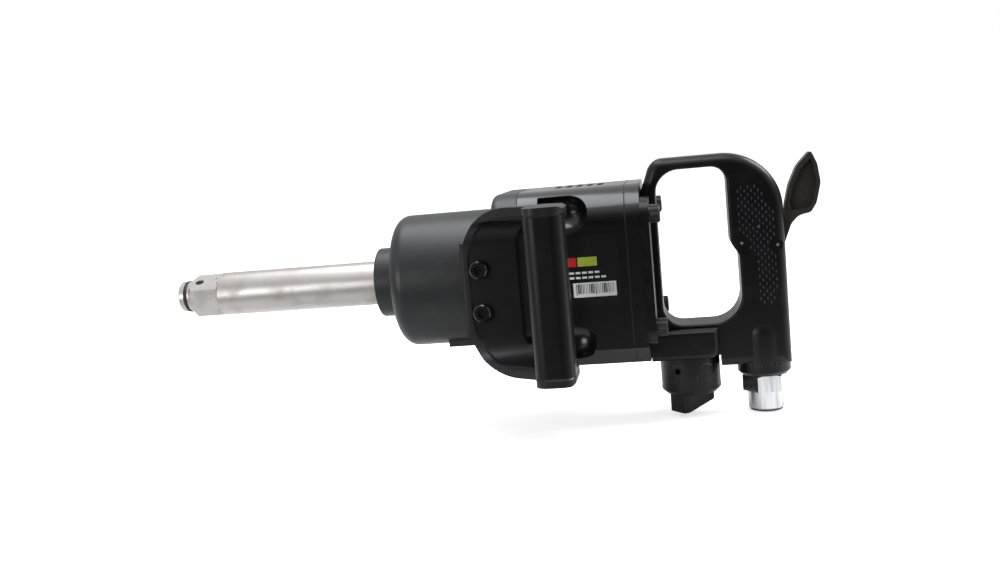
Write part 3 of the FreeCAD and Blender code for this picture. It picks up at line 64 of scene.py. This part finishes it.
class Value:
    """A shader socket that takes + - * and /, and makes the Math nodes itself."""

    def __init__(self, finish, socket):
        self.finish, self.socket = finish, socket

    def maths(self, operation, *inputs):
        return self.finish.node("ShaderNodeMath", {"operation": operation}, dict(enumerate(inputs)))

    def __add__(self, other):
        return self.maths("ADD", self, other)

    def __sub__(self, other):
        return self.maths("SUBTRACT", self, other)

    def __rsub__(self, other):
        return self.maths("SUBTRACT", other, self)

    def __mul__(self, other):
        return self.maths("MULTIPLY", self, other)

    __radd__ = __add__
    __rmul__ = __mul__

    def above(self, level, soft=0.05):
        """0 below the level, 1 above it, and a soft step of that width between."""
        return self.finish.node("ShaderNodeMapRange", {"clamp": True}, {
            "Value": self, "From Min": level - soft, "From Max": level + soft, "To Min": 0.0, "To Max": 1.0})


class Finish:
    """One finish: a Principled shader and the nodes that vary its colour, roughness and relief."""

    def __init__(self, name, color, roughness, metallic=0.0, coat=0.0, **fixed):
        self.material = bpy.data.materials.new(name)
        self.material.use_nodes = True
        self.tree = self.material.node_tree
        self.shader = self.tree.nodes["Principled BSDF"]
        self.color, self.roughness = color, roughness
        self.set("Base Color", (*color, 1.0))
        self.set("Roughness", roughness)
        self.set("Metallic", metallic)
        self.set("Coat Weight", coat)
        for socket, number in fixed.items():
            self.set(socket.replace("_", " ").title().replace("Ior", "IOR"), number)
        self.place = self.node("ShaderNodeTexCoord", out="Object")

    def set(self, socket, value):
        if isinstance(value, Value):
            self.tree.links.new(value.socket, self.shader.inputs[socket])
        else:
            self.shader.inputs[socket].default_value = value

    def node(self, kind, settings=None, inputs=None, out=0):
        made = self.tree.nodes.new(kind)
        for name, setting in (settings or {}).items():
            if name == "stops":
                ramp = made.color_ramp
                while len(ramp.elements) < len(setting):
                    ramp.elements.new(0.5)
                for element, (position, color) in zip(ramp.elements, setting):
                    element.position, element.color = position, (*color, 1.0)
            else:
                setattr(made, name, setting)
        for name, value in (inputs or {}).items():
            if isinstance(value, Value):
                self.tree.links.new(value.socket, made.inputs[name])
            else:
                made.inputs[name].default_value = value
        return Value(self, made.outputs[out])

    def noise(self, scale, detail=3.0, stretch=(1, 1, 1), rough=0.55):
        """Noise of that many features to a metre, stretched along an axis by a factor under one."""
        spot = self.node("ShaderNodeMapping", {}, {"Vector": self.place, "Scale": stretch})
        return self.node("ShaderNodeTexNoise", {}, {
            "Vector": spot, "Scale": scale, "Detail": detail, "Roughness": rough})

    def axis(self, letter):
        return self.node("ShaderNodeSeparateXYZ", {}, {"Vector": self.place}, letter)

    def tint(self, amount, first, second):
        return self.node("ShaderNodeMix", {"data_type": "RGBA"}, {
            "Factor": amount, 6: first if isinstance(first, Value) else (*first, 1.0), 7: (*second, 1.0)}, 2)

    def relief(self, height, strength, depth):
        """Bump of that height map, its depth in metres."""
        bump = self.node("ShaderNodeBump", {}, {"Height": height, "Strength": strength, "Distance": depth})
        self.set("Normal", bump)

    def worn(self, spread, scale=60.0):
        """Roughness that wanders by the spread about its own value."""
        self.set("Roughness", self.noise(scale) * (2 * spread) + (self.roughness - spread))


def box_of(name):
    return tuple(np.array(corner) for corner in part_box(name))


def middle_of(name):
    return sum(box_of(name)) / 2


def case_paint():
    """Satin black paint over turned steel, with a fine orange-peel relief."""
    paint = Finish("satin_black_on_steel", (0.012, 0.0125, 0.014), 0.42, coat=0.10, coat_roughness=0.35)
    paint.worn(0.06)
    paint.set("Base Color", paint.tint(paint.noise(90.0).above(0.58, 0.12), (0.011, 0.0115, 0.013),
                                       (0.016, 0.0165, 0.0185)))
    paint.relief(paint.noise(1600.0, 2.0), 0.25, 0.00006)
    return paint


def gloss_paint():
    """Glossy black enamel on an aluminium casting."""
    paint = Finish("gloss_black_enamel", (0.008, 0.008, 0.0085), 0.24, coat=0.25, coat_roughness=0.08)
    paint.worn(0.05, 45.0)
    paint.relief(paint.noise(420.0, 2.0), 0.18, 0.00008)
    return paint


def handle_paint():
    """Satin black paint on an aluminium casting, greyer where hands have polished it."""
    paint = Finish("satin_black_on_casting", (0.005, 0.0047, 0.0055), 0.36, coat=0.05, coat_roughness=0.25,
                   ior=1.36)
    paint.worn(0.07)
    paint.set("Base Color", paint.tint(paint.noise(70.0).above(0.6, 0.1), (0.0042, 0.0040, 0.0048),
                                       (0.009, 0.0082, 0.0095)))
    paint.relief(paint.noise(1100.0, 3.0), 0.30, 0.00008)
    return paint


def side_handle_paint():
    """The handle's paint, stepped on the rim that follows the side handle's rounded front, and lighter on
    that rim as a painted highlight.

    With q the distance past the centres of the two front corners, the distance in from the outline is
    the corner's radius less the length of q, where negative parts of q count as nothing.
    """
    paint = Finish("satin_black_rimmed", (0.006, 0.0055, 0.0065), 0.38, coat=0.05, coat_roughness=0.28,
                   ior=1.36)
    paint.worn(0.07)
    low, high = box_of("side_handle")
    radius, rim = 0.040, 0.0055
    across, up = paint.axis("X"), paint.axis("Z")
    past_front = across.maths("MAXIMUM", (low[0] + radius) - across, 0.0)
    from_middle = across.maths("ABSOLUTE", up - (low[2] + high[2]) / 2)
    past_end = across.maths("MAXIMUM", from_middle - ((high[2] - low[2]) / 2 - radius), 0.0)
    inward = radius - across.maths("SQRT", past_front * past_front + past_end * past_end)
    recess = inward.above(rim, 0.0007)
    # Painted highlight: the rim and the faces it covers are lighter, and the recess inside keeps the plain
    # dark paint.
    paint.set("Base Color", paint.tint(recess, (0.020, 0.018, 0.020), (0.0050, 0.0046, 0.0054)))
    paint.relief(paint.noise(1100.0, 3.0) * 0.04 - recess, 0.9, 0.0012)
    return paint


def checkering_paint():
    """The handle's paint on the raised lozenges, glossier where the hand polishes them and lighter in colour
    as a painted highlight.
    """
    paint = Finish("black_checkering_painted_highlight", (0.055, 0.056, 0.062), 0.26, coat=0.4, coat_roughness=0.12)
    paint.worn(0.05, 500.0)
    return paint


def lever_paint():
    paint = Finish("warm_black_lever", (0.026, 0.021, 0.020), 0.45, coat=0.1, coat_roughness=0.3)
    paint.worn(0.08)
    paint.relief(paint.noise(900.0, 3.0), 0.35, 0.00010)
    return paint


def knob_paint():
    paint = Finish("brown_black_knob", (0.0065, 0.0052, 0.0052), 0.34, coat=0.05, coat_roughness=0.25,
                   ior=1.36)
    paint.worn(0.08)
    paint.relief(paint.noise(900.0, 3.0), 0.30, 0.00008)
    return paint


STEEL, STEEL_STAIN = (0.56, 0.535, 0.515), (0.45, 0.42, 0.395)


def ground_steel():
    """Warm grey steel ground round the spindle, with faint stains and fine rings."""
    steel = Finish("ground_steel", (0.60, 0.57, 0.545), 0.30, metallic=1.0)
    stains = steel.noise(38.0, 5.0).above(0.60, 0.10)
    steel.set("Roughness", steel.noise(55.0) * 0.14 + 0.32 + stains * 0.10)
    # Small dark pits gather where the square meets the shaft.
    shoulder = steel.axis("X").above(0.010, 0.006) - steel.axis("X").above(0.024, 0.003)
    pits = steel.noise(420.0, 4.0).above(0.64, 0.02) * shoulder
    steel.set("Base Color", steel.tint(pits, steel.tint(stains, STEEL, STEEL_STAIN), (0.16, 0.10, 0.09)))
    rings = steel.noise(900.0, 2.0, (1.0, 0.02, 0.02))
    steel.relief(rings - pits * 0.6, 0.22, 0.00005)
    return steel


def machined_steel():
    steel = Finish("machined_steel", (0.42, 0.42, 0.43), 0.34, metallic=1.0)
    steel.worn(0.08)
    return steel


def black_oxide():
    oxide = Finish("black_oxide", (0.035, 0.034, 0.036), 0.32, metallic=0.6)
    oxide.worn(0.10, 300.0)
    return oxide


def pin_end(name):
    """A dark pin with a painted highlight at its centre: bright within a millimetre of its axis, black oxide
    outside.
    """
    pin = Finish(f"{name}_end", (0.03, 0.03, 0.032), 0.30, metallic=0.8)
    centre = middle_of(name)
    across, up = pin.axis("X") - centre[0], pin.axis("Z") - centre[2]
    outside = across.maths("SQRT", across * across + up * up).above(0.0011, 0.0002)
    # Painted highlight: the bright disc round the axis.
    pin.set("Base Color", pin.tint(outside, (0.75, 0.74, 0.72), (0.02, 0.02, 0.022)))
    return pin


def screw_gloss():
    gloss = Finish("glossy_black_screw", (0.012, 0.012, 0.013), 0.16, metallic=0.3, coat=0.5,
                   coat_roughness=0.08)
    gloss.worn(0.05, 300.0)
    return gloss


def chrome():
    """Bright plating with faint vertical draw marks."""
    plate = Finish("bright_plating", (0.74, 0.74, 0.76), 0.14, metallic=1.0)
    marks = plate.noise(500.0, 2.0, (1.0, 1.0, 0.06))
    plate.set("Roughness", marks * 0.16 + 0.08)
    plate.set("Base Color", plate.tint(marks.above(0.55, 0.15), (0.78, 0.78, 0.80), (0.55, 0.55, 0.58)))
    return plate


def bronze():
    metal = Finish("bronze", (0.55, 0.38, 0.20), 0.35, metallic=1.0)
    metal.worn(0.08)
    return metal


def rubber():
    """Dark brown rubber."""
    soft = Finish("brown_black_rubber", (0.030, 0.020, 0.017), 0.60)
    soft.worn(0.08)
    return soft


def mark_paint():
    """Glossy black on the raised marks, a little lighter than the paint round them as a painted highlight.
    """
    paint = Finish("raised_marks_painted_highlight", (0.020, 0.018, 0.018), 0.20, coat=0.3, coat_roughness=0.1)
    paint.worn(0.06, 400.0)
    return paint


def gasket_paper():
    paper = Finish("pressed_fibre", (0.30, 0.12, 0.05), 0.80)
    paper.set("Base Color", paper.tint(paper.noise(600.0), (0.018, 0.008, 0.006), (0.034, 0.016, 0.010)))
    return paper


def vane_plastic():
    plastic = Finish("laminated_phenolic", (0.33, 0.20, 0.09), 0.55)
    plastic.set("Base Color", plastic.tint(plastic.noise(400.0, 2.0, (0.1, 1, 1)), (0.28, 0.16, 0.07),
                                           (0.40, 0.26, 0.12)))
    return plastic


def felt():
    cloth = Finish("pressed_felt", (0.42, 0.41, 0.39), 0.95)
    cloth.relief(cloth.noise(2500.0, 4.0), 0.8, 0.0003)
    return cloth


def label_film():
    film = Finish("glossy_film", (0.012, 0.012, 0.013), 0.18, coat=0.4, coat_roughness=0.05)
    film.worn(0.04)
    return film


MAKERS = {
    "case_paint": case_paint, "gloss_paint": gloss_paint, "handle_paint": handle_paint,
    "bright_steel": ground_steel, "steel": machined_steel, "black_oxide": black_oxide, "chrome": chrome,
    "bronze": bronze, "rubber": rubber, "gasket_paper": gasket_paper, "vane_plastic": vane_plastic,
    "felt": felt, "knob_black": knob_paint, "label_film": label_film,
}
finishes = {slot: make().material for slot, make in MAKERS.items()}
finishes["lever"] = lever_paint().material
finishes["screw"] = screw_gloss().material
finishes["checkering"] = checkering_paint().material
finishes["side_handle"] = side_handle_paint().material
finishes["marks"] = mark_paint().material
for pin in ("lever_pin", "cross_pin"):
    finishes[pin] = pin_end(pin).material
special = {"throttle_lever": "lever", "side_handle_screws": "screw", "side_handle": "side_handle",
           "lock_pin": "chrome", "lever_pin": "lever_pin", "cross_pin": "cross_pin"}
for part in frame["record"]["subparts"]:
    node = nodes[part["node"]]
    finish = finishes[special.get(part["node"], part["material_slot"])]
    for slot in node.material_slots:
        slot.material = finish


# ---------------------------------------------------------------- pieces

def piece(name, points, faces, finish, body):
    """A mesh object made of those points (metres) and faces, riding on a body."""
    mesh = bpy.data.meshes.new(name)
    mesh.from_pydata(points.reshape(-1, 3).tolist(), [], faces)
    mesh.update()
    made = bpy.data.objects.new(name, mesh)
    scene.collection.objects.link(made)
    made.data.materials.append(finish)
    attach(made, body)
    return made


def many(shape_points, shape_faces, spots):
    """Copies of one small shape at every spot, as one set of points and faces."""
    points = spots[:, None, :] + shape_points[None, :, :]
    count = len(shape_points)
    return points, [tuple(count * copy + corner for corner in face)
                    for copy in range(len(spots)) for face in shape_faces]


def inside(outline, x, z):
    """Which of the points lie inside a closed outline, by counting the edges crossed to their right."""
    ends = np.array(outline)
    starts = np.roll(ends, 1, axis=0)
    low, high = starts[:, None, :], ends[:, None, :]
    crosses = (low[..., 1] > z) != (high[..., 1] > z)
    rise = np.where(high[..., 1] == low[..., 1], 1.0, high[..., 1] - low[..., 1])
    at = low[..., 0] + (z - low[..., 1]) * (high[..., 0] - low[..., 0]) / rise
    return np.sum(crosses & (x < at), axis=0) % 2 == 1


# The grip's checkering: its outline beside the hand opening, in millimetres along and up.
CHECKERED = [(437.5, 54.6), (451.7, 54.0), (460.5, 37.5), (464.0, 28.6), (464.0, 8.6), (461.3, -31.8),
             (458.5, -34.6), (447.0, -33.5), (448.6, -1.5), (445.2, 6.3), (438.7, 15.0), (435.8, 25.0)]


def grip_checkering(side):
    """Raised lozenges in staggered columns on one side of the grip, clear of its three pins.

    Each is a flat-topped pyramid: a rhombus on the grip and a smaller one above it.
    """
    column, row, half_width, half_height, rise, sink = 2.45, 5.6, 1.15, 2.6, 0.75, 0.7
    across = 18.0 * side
    columns, rows = np.meshgrid(np.arange(430, 470, column), np.arange(-42, 60, row), indexing="ij")
    rows = rows + row / 2 * (np.arange(columns.shape[0])[:, None] % 2)
    x, z = columns.ravel(), rows.ravel()
    keep = inside(CHECKERED, x, z)
    for pin, room in (("cross_pin", 5.6), ("lever_pin", 5.2), ("lock_pin", 3.0)):
        at = middle_of(pin) / MM
        keep &= np.hypot(x - at[0], z - at[2]) > room
    spots = np.stack([x[keep], np.full(keep.sum(), across), z[keep]], axis=1)
    foot = np.array([(half_width, 0, 0), (0, 0, half_height), (-half_width, 0, 0), (0, 0, -half_height)])
    shape = np.concatenate([foot - (0, side * sink, 0), foot * 0.35 + (0, side * rise, 0)])
    faces = [(0, 1, 2, 3), (7, 6, 5, 4)] + [(n, 4 + n, 4 + (n + 1) % 4, (n + 1) % 4) for n in range(4)]
    if side < 0:
        faces = [face[::-1] for face in faces]
    points, all_faces = many(shape, faces, spots)
    return piece(f"grip_checkering_{'left' if side < 0 else 'right'}", points * MM, all_faces,
                 finishes["checkering"], "tool")


def loop_faces(rings, corners):
    """Quads of a surface closed both ways: rings round a path, and corners round each ring."""
    ring, corner = np.meshgrid(np.arange(rings), np.arange(corners), indexing="ij")
    after, beside = (ring + 1) % rings, (corner + 1) % corners
    quads = np.stack([ring * corners + corner, ring * corners + beside, after * corners + beside,
                      after * corners + corner], axis=-1)
    return [tuple(quad) for quad in quads.reshape(-1, 4).tolist()]


def head_knurls(name, node):
    """A toothed band round each cap head of a node, worked out from the heads' own boxes.

    Going round the head, the outer radius steps up and down once for each tooth; the band is closed
    inside the head.
    """
    teeth, tooth, head_r, head_length = 40, 0.22, 6.5, 8.0
    low, high = (corner / MM for corner in box_of(node))
    start = high[0] - head_length
    turn = np.linspace(0, math.tau, 4 * teeth, endpoint=False)
    crest = np.where(np.arange(4 * teeth) % 4 < 2, head_r + tooth, head_r + 0.02)
    inner = np.full_like(turn, head_r - 0.6)
    sections = [(start + 0.9, inner), (start + 0.9, crest), (high[0] - 1.0, crest), (high[0] - 1.0, inner)]
    band = np.stack([np.stack([np.full_like(turn, x), r * np.cos(turn), r * np.sin(turn)], axis=-1)
                     for x, r in sections], axis=1).reshape(-1, 3)
    spots = np.array([(0, y, z) for y in (low[1] + head_r, high[1] - head_r)
                      for z in (low[2] + head_r, high[2] - head_r)])
    points, faces = many(band, loop_faces(4 * teeth, len(sections)), spots)
    return piece(name, points * MM, faces, finishes["black_oxide"], "tool")


def wrapped(path, radius, centre, height, closed=False, width=0.9):
    """A raised stroke on an upright round wall.

    The path gives points round the wall and up it, in millimetres. The stroke's section is a low
    trapezium, carried along the path, then the flat strip is rolled onto the wall.
    """
    path = np.array(path, float)
    ahead = np.roll(path, -1, axis=0) - np.roll(path, 1, axis=0)
    if not closed:
        ahead[0], ahead[-1] = path[1] - path[0], path[-1] - path[-2]
    ahead /= np.linalg.norm(ahead, axis=1)[:, None]
    side = np.stack([-ahead[:, 1], ahead[:, 0]], axis=1)
    section = [(-width / 2, -0.4), (-width / 4, height), (width / 4, height), (width / 2, -0.4)]
    flat = np.stack([np.concatenate([path + side * across, np.full((len(path), 1), up)], axis=1)
                     for across, up in section], axis=1).reshape(-1, 3)
    angle, out = flat[:, 0] / radius, radius + flat[:, 2]
    points = np.stack([centre[0] + out * np.sin(angle), centre[1] - out * np.cos(angle), flat[:, 1]], axis=1)
    corners = len(section)
    faces = loop_faces(len(path), corners)
    if not closed:
        faces = faces[:-corners] + [tuple(range(corners))[::-1],
                                    tuple((len(path) - 1) * corners + n for n in range(corners))]
    return points, faces


def strokes(name, paths, radius, centre, height, finish, body, width=0.9):
    """Several wrapped strokes as one piece; each path says whether it is closed."""
    points, faces = [], []
    for path, closed in paths:
        some, rings = wrapped(path, radius, centre, height, closed, width)
        base = sum(len(part) for part in points)
        points.append(some)
        faces += [tuple(base + corner for corner in face) for face in rings]
    return piece(name, np.concatenate(points) * MM, faces, finishes[finish], body)


def arc(centre, radius, start, end, count=14):
    angle = np.radians(np.linspace(start, end, count))
    return np.stack([centre[0] + radius * np.cos(angle), centre[1] + radius * np.sin(angle)], axis=1)


def knob_marks():
    """Two turning arrows, a graduated scale and a rib round the knob's skirt."""
    radius, top = 22.75, -73.2
    centre = middle_of("knob_screw") / MM
    hole, other = (-9.6, top - 9.2), (12.6, top - 9.0)
    paths = [(arc(hole, 5.2, 150, 28), False), (arc(other, 5.2, 30, 152), False)]
    head = ((3.0, 4.9), (4.9, 2.2), (6.9, 4.4))
    for (across, up), way in ((hole, 1), (other, -1)):
        paths.append(([(across + way * along, up + rise) for along, rise in head], False))
    scale_top = top - 13.2
    for step, mark in enumerate((-12.4, -3.8, 4.4, 12.4, 19.0)):
        tall = 3.4 if step % 2 else 4.4
        paths.append(([(mark, scale_top - tall), (mark + 0.4, scale_top)], False))
    strokes("knob_marks", paths, radius, centre, 0.45, "marks", "reverse", 1.1)
    round_skirt = np.linspace(-math.pi, math.pi, 97)[:-1] * radius
    rib = np.stack([round_skirt, np.full_like(round_skirt, top - 24.0)], axis=1)
    strokes("knob_rib", [(rib, True)], radius, centre, 0.22, "knob_black", "reverse", 1.3)


def boss_marks():
    """A row of small raised hoops and bars on the inlet boss: plain marks, not letters."""
    radius, level, tall = 20.0, -81.0, 4.2
    centre = middle_of("inlet_bushing") / MM
    paths = []
    for place, mark in enumerate(np.linspace(-12.0, 12.0, 7)):
        if place % 2:
            paths.append(([(mark - 0.9, level - tall / 2), (mark + 0.9, level + tall / 2)], False))
        else:
            turn = np.linspace(0, math.tau, 17)[:-1]
            hoop = np.stack([mark + 1.25 * np.cos(turn), level + tall / 2 * np.sin(turn)], axis=1)
            paths.append((hoop, True))
    strokes("boss_marks", paths, radius, centre, 0.45, "marks", "tool", 0.9)


def print_patches(name, patches, finish, lift):
    """Printed patches on the label: thin plates given by their front, rear, lower and upper edges."""
    face = box_of("label")[0][1] / MM
    cube = np.array([(x, y, z) for x in (0, 1) for y in (0, 1) for z in (0, 1)])
    corners = [(0, 1, 3, 2), (4, 6, 7, 5), (0, 4, 5, 1), (2, 3, 7, 6), (0, 2, 6, 4), (1, 5, 7, 3)]
    points, faces = [], []
    for number, (x0, x1, z0, z1) in enumerate(patches):
        points.append(np.array([x0, face - lift, z0]) + cube * (x1 - x0, lift, z1 - z0))
        faces += [tuple(8 * number + corner for corner in face_corners) for face_corners in corners]
    return piece(name, np.concatenate(points) * MM, faces, finish, "tool")


def label_print():
    """Two colour blocks, rows of plain dashes and a white panel of bars."""
    ink = {name: Finish(f"{name}_ink", color, 0.35).material for name, color in (
        ("red", (0.60, 0.015, 0.02)), ("green", (0.42, 0.55, 0.05)), ("white", (0.85, 0.85, 0.85)),
        ("black", (0.01, 0.01, 0.01)))}
    print_patches("label_red", [(300.0, 318.0, 8.4, 15.0)], ink["red"], 0.03)
    print_patches("label_green", [(319.0, 333.0, 8.4, 15.0)], ink["green"], 0.03)
    dashes = [(x, x + 3.4, z, z + 1.5) for x, z in
              [(x, 3.0) for x in np.arange(294, 334, 4.6)] + [(x, -0.6) for x in np.arange(294, 337, 4.6)]]
    print_patches("label_white", [(314.5, 345.7, -14.2, -3.6)] + dashes, ink["white"], 0.03)
    wide = [0.55, 0.3, 0.8, 0.3, 0.55, 0.9, 0.3, 0.45]
    bars = [(316.6 + 1.17 * n, 316.6 + 1.17 * n + wide[n * 5 % 8], -11.6 if n % 12 else -12.6, -4.6)
            for n in range(24)]
    print_patches("label_bars", bars, ink["black"], 0.05)


for hand in (-1, 1):
    grip_checkering(hand)
head_knurls("case_bolt_knurls", "case_bolts")
head_knurls("handle_bolt_knurls", "handle_bolts")
knob_marks()
boss_marks()
label_print()


# ---------------------------------------------------------------- studio

def area_light(name, at, toward, size, power, color=(1, 1, 1)):
    data = bpy.data.lights.new(name, "AREA")
    data.shape, data.size, data.size_y, data.energy, data.color = "RECTANGLE", *size, power, color
    lamp = bpy.data.objects.new(name, data)
    lamp.location = at
    lamp.rotation_euler = (Vector(toward) - Vector(at)).to_track_quat("-Z", "Y").to_euler()
    scene.collection.objects.link(lamp)


def studio_floor(name, half, height, glow, dark_to, pale_from):
    """A flat pale square that glows a little where it is seen.

    Where it only lights the object it is dark up to one place along Y and pale from another.
    """
    corners = [(-half, -half, height), (half, -half, height), (half, half, height), (-half, half, height)]
    mesh = bpy.data.meshes.new(name)
    mesh.from_pydata(corners, [], [(0, 1, 2, 3)])
    floor = bpy.data.objects.new(name, mesh)
    white, pale, dark, black = (1.0, 1.0, 1.0), (0.93, 0.93, 0.93), (0.03, 0.03, 0.03), (0.0, 0.0, 0.0)
    finish = Finish("pale_floor", pale, 0.9, emission_strength=glow)
    seen = finish.node("ShaderNodeLightPath", out="Is Camera Ray")
    near = finish.node("ShaderNodeMapRange", {"interpolation_type": "SMOOTHSTEP"}, {
        "Value": finish.axis("Y"), "From Min": dark_to, "From Max": pale_from, "To Min": 0.0, "To Max": 1.0})
    finish.set("Base Color", finish.tint(seen.maths("MAXIMUM", seen, near * 0.9), dark, pale))
    finish.set("Emission Color", finish.tint(seen, black, white))
    mesh.materials.append(finish.material)
    scene.collection.objects.link(floor)


def studio_world(seen, around, front, above):
    """White where it is seen.  Where it only lights the object it is pale, brighter overhead, dark in front.

    The dark patch is a cone about -Y, like the unlit end of a studio, and its edge is soft.
    """
    world = bpy.data.worlds.new("studio")
    world.use_nodes = True
    tree = world.node_tree
    tree.nodes.clear()

    def add(kind, **settings):
        node = tree.nodes.new(kind)
        for name, setting in settings.items():
            setattr(node, name, setting)
        return node

    def sloped(axis, start, end, first, last):
        slope = add("ShaderNodeMapRange", interpolation_type="SMOOTHSTEP")
        ends = {"From Min": start, "From Max": end, "To Min": first, "To Max": last}
        for name, number in ends.items():
            slope.inputs[name].default_value = number
        tree.links.new(parts.outputs[axis], slope.inputs["Value"])
        return slope.outputs[0]

    parts = add("ShaderNodeSeparateXYZ")
    tree.links.new(add("ShaderNodeTexCoord").outputs["Generated"], parts.inputs[0])
    level = add("ShaderNodeMath", operation="MULTIPLY")
    tree.links.new(sloped("Y", -0.97, -0.62, front / around, 1.0), level.inputs[0])
    tree.links.new(sloped("Z", 0.1, 0.8, around, above), level.inputs[1])
    glow, plain, mix = add("ShaderNodeBackground"), add("ShaderNodeBackground"), add("ShaderNodeMixShader")
    plain.inputs["Color"].default_value = (seen, seen, seen, 1)
    tree.links.new(level.outputs[0], glow.inputs["Strength"])
    tree.links.new(add("ShaderNodeLightPath").outputs["Is Camera Ray"], mix.inputs[0])
    tree.links.new(glow.outputs[0], mix.inputs[1])
    tree.links.new(plain.outputs[0], mix.inputs[2])
    tree.links.new(mix.outputs[0], add("ShaderNodeOutputWorld").inputs[0])
    scene.world = world


def camera(at, yaw, tilt, roll, lens):
    """Looks along +Y turned by the yaw, tilted down and rolled, all in degrees."""
    data = bpy.data.cameras.new("view")
    data.lens, data.sensor_width = lens, 36.0
    data.clip_start, data.clip_end = 0.01, 50.0
    eye = bpy.data.objects.new("view", data)
    turn = Matrix.Rotation(math.radians(yaw), 4, "Z") @ Matrix.Rotation(math.radians(90 - tilt), 4, "X")
    eye.matrix_world = Matrix.Translation(at) @ turn @ Matrix.Rotation(math.radians(roll), 4, "Z")
    scene.collection.objects.link(eye)
    scene.camera = eye


low, high = (Vector(corner) for corner in cad_box)
middle = (low + high) / 2
scene.view_settings.view_transform = "Standard"
studio_floor("floor", half=6.0, height=low.z - 0.001, glow=0.62, dark_to=-0.40, pale_from=0.04)
studio_world(seen=1.0, around=0.75, front=0.02, above=1.0)
area_light("overhead", middle + Vector((-0.1, -0.05, 1.2)), middle, (1.3, 0.5), 10.0, (0.95, 0.97, 1.0))
area_light("left_front", middle + Vector((-0.75, -1.1, 0.18)), middle, (0.55, 0.55), 4.3)
area_light("right_back", middle + Vector((1.0, 0.25, 0.9)), middle, (0.6, 0.6), 14.0)
camera((0.3938, -0.8227, 0.0965), yaw=9.9, tilt=7.0, roll=-5.3, lens=38.16)
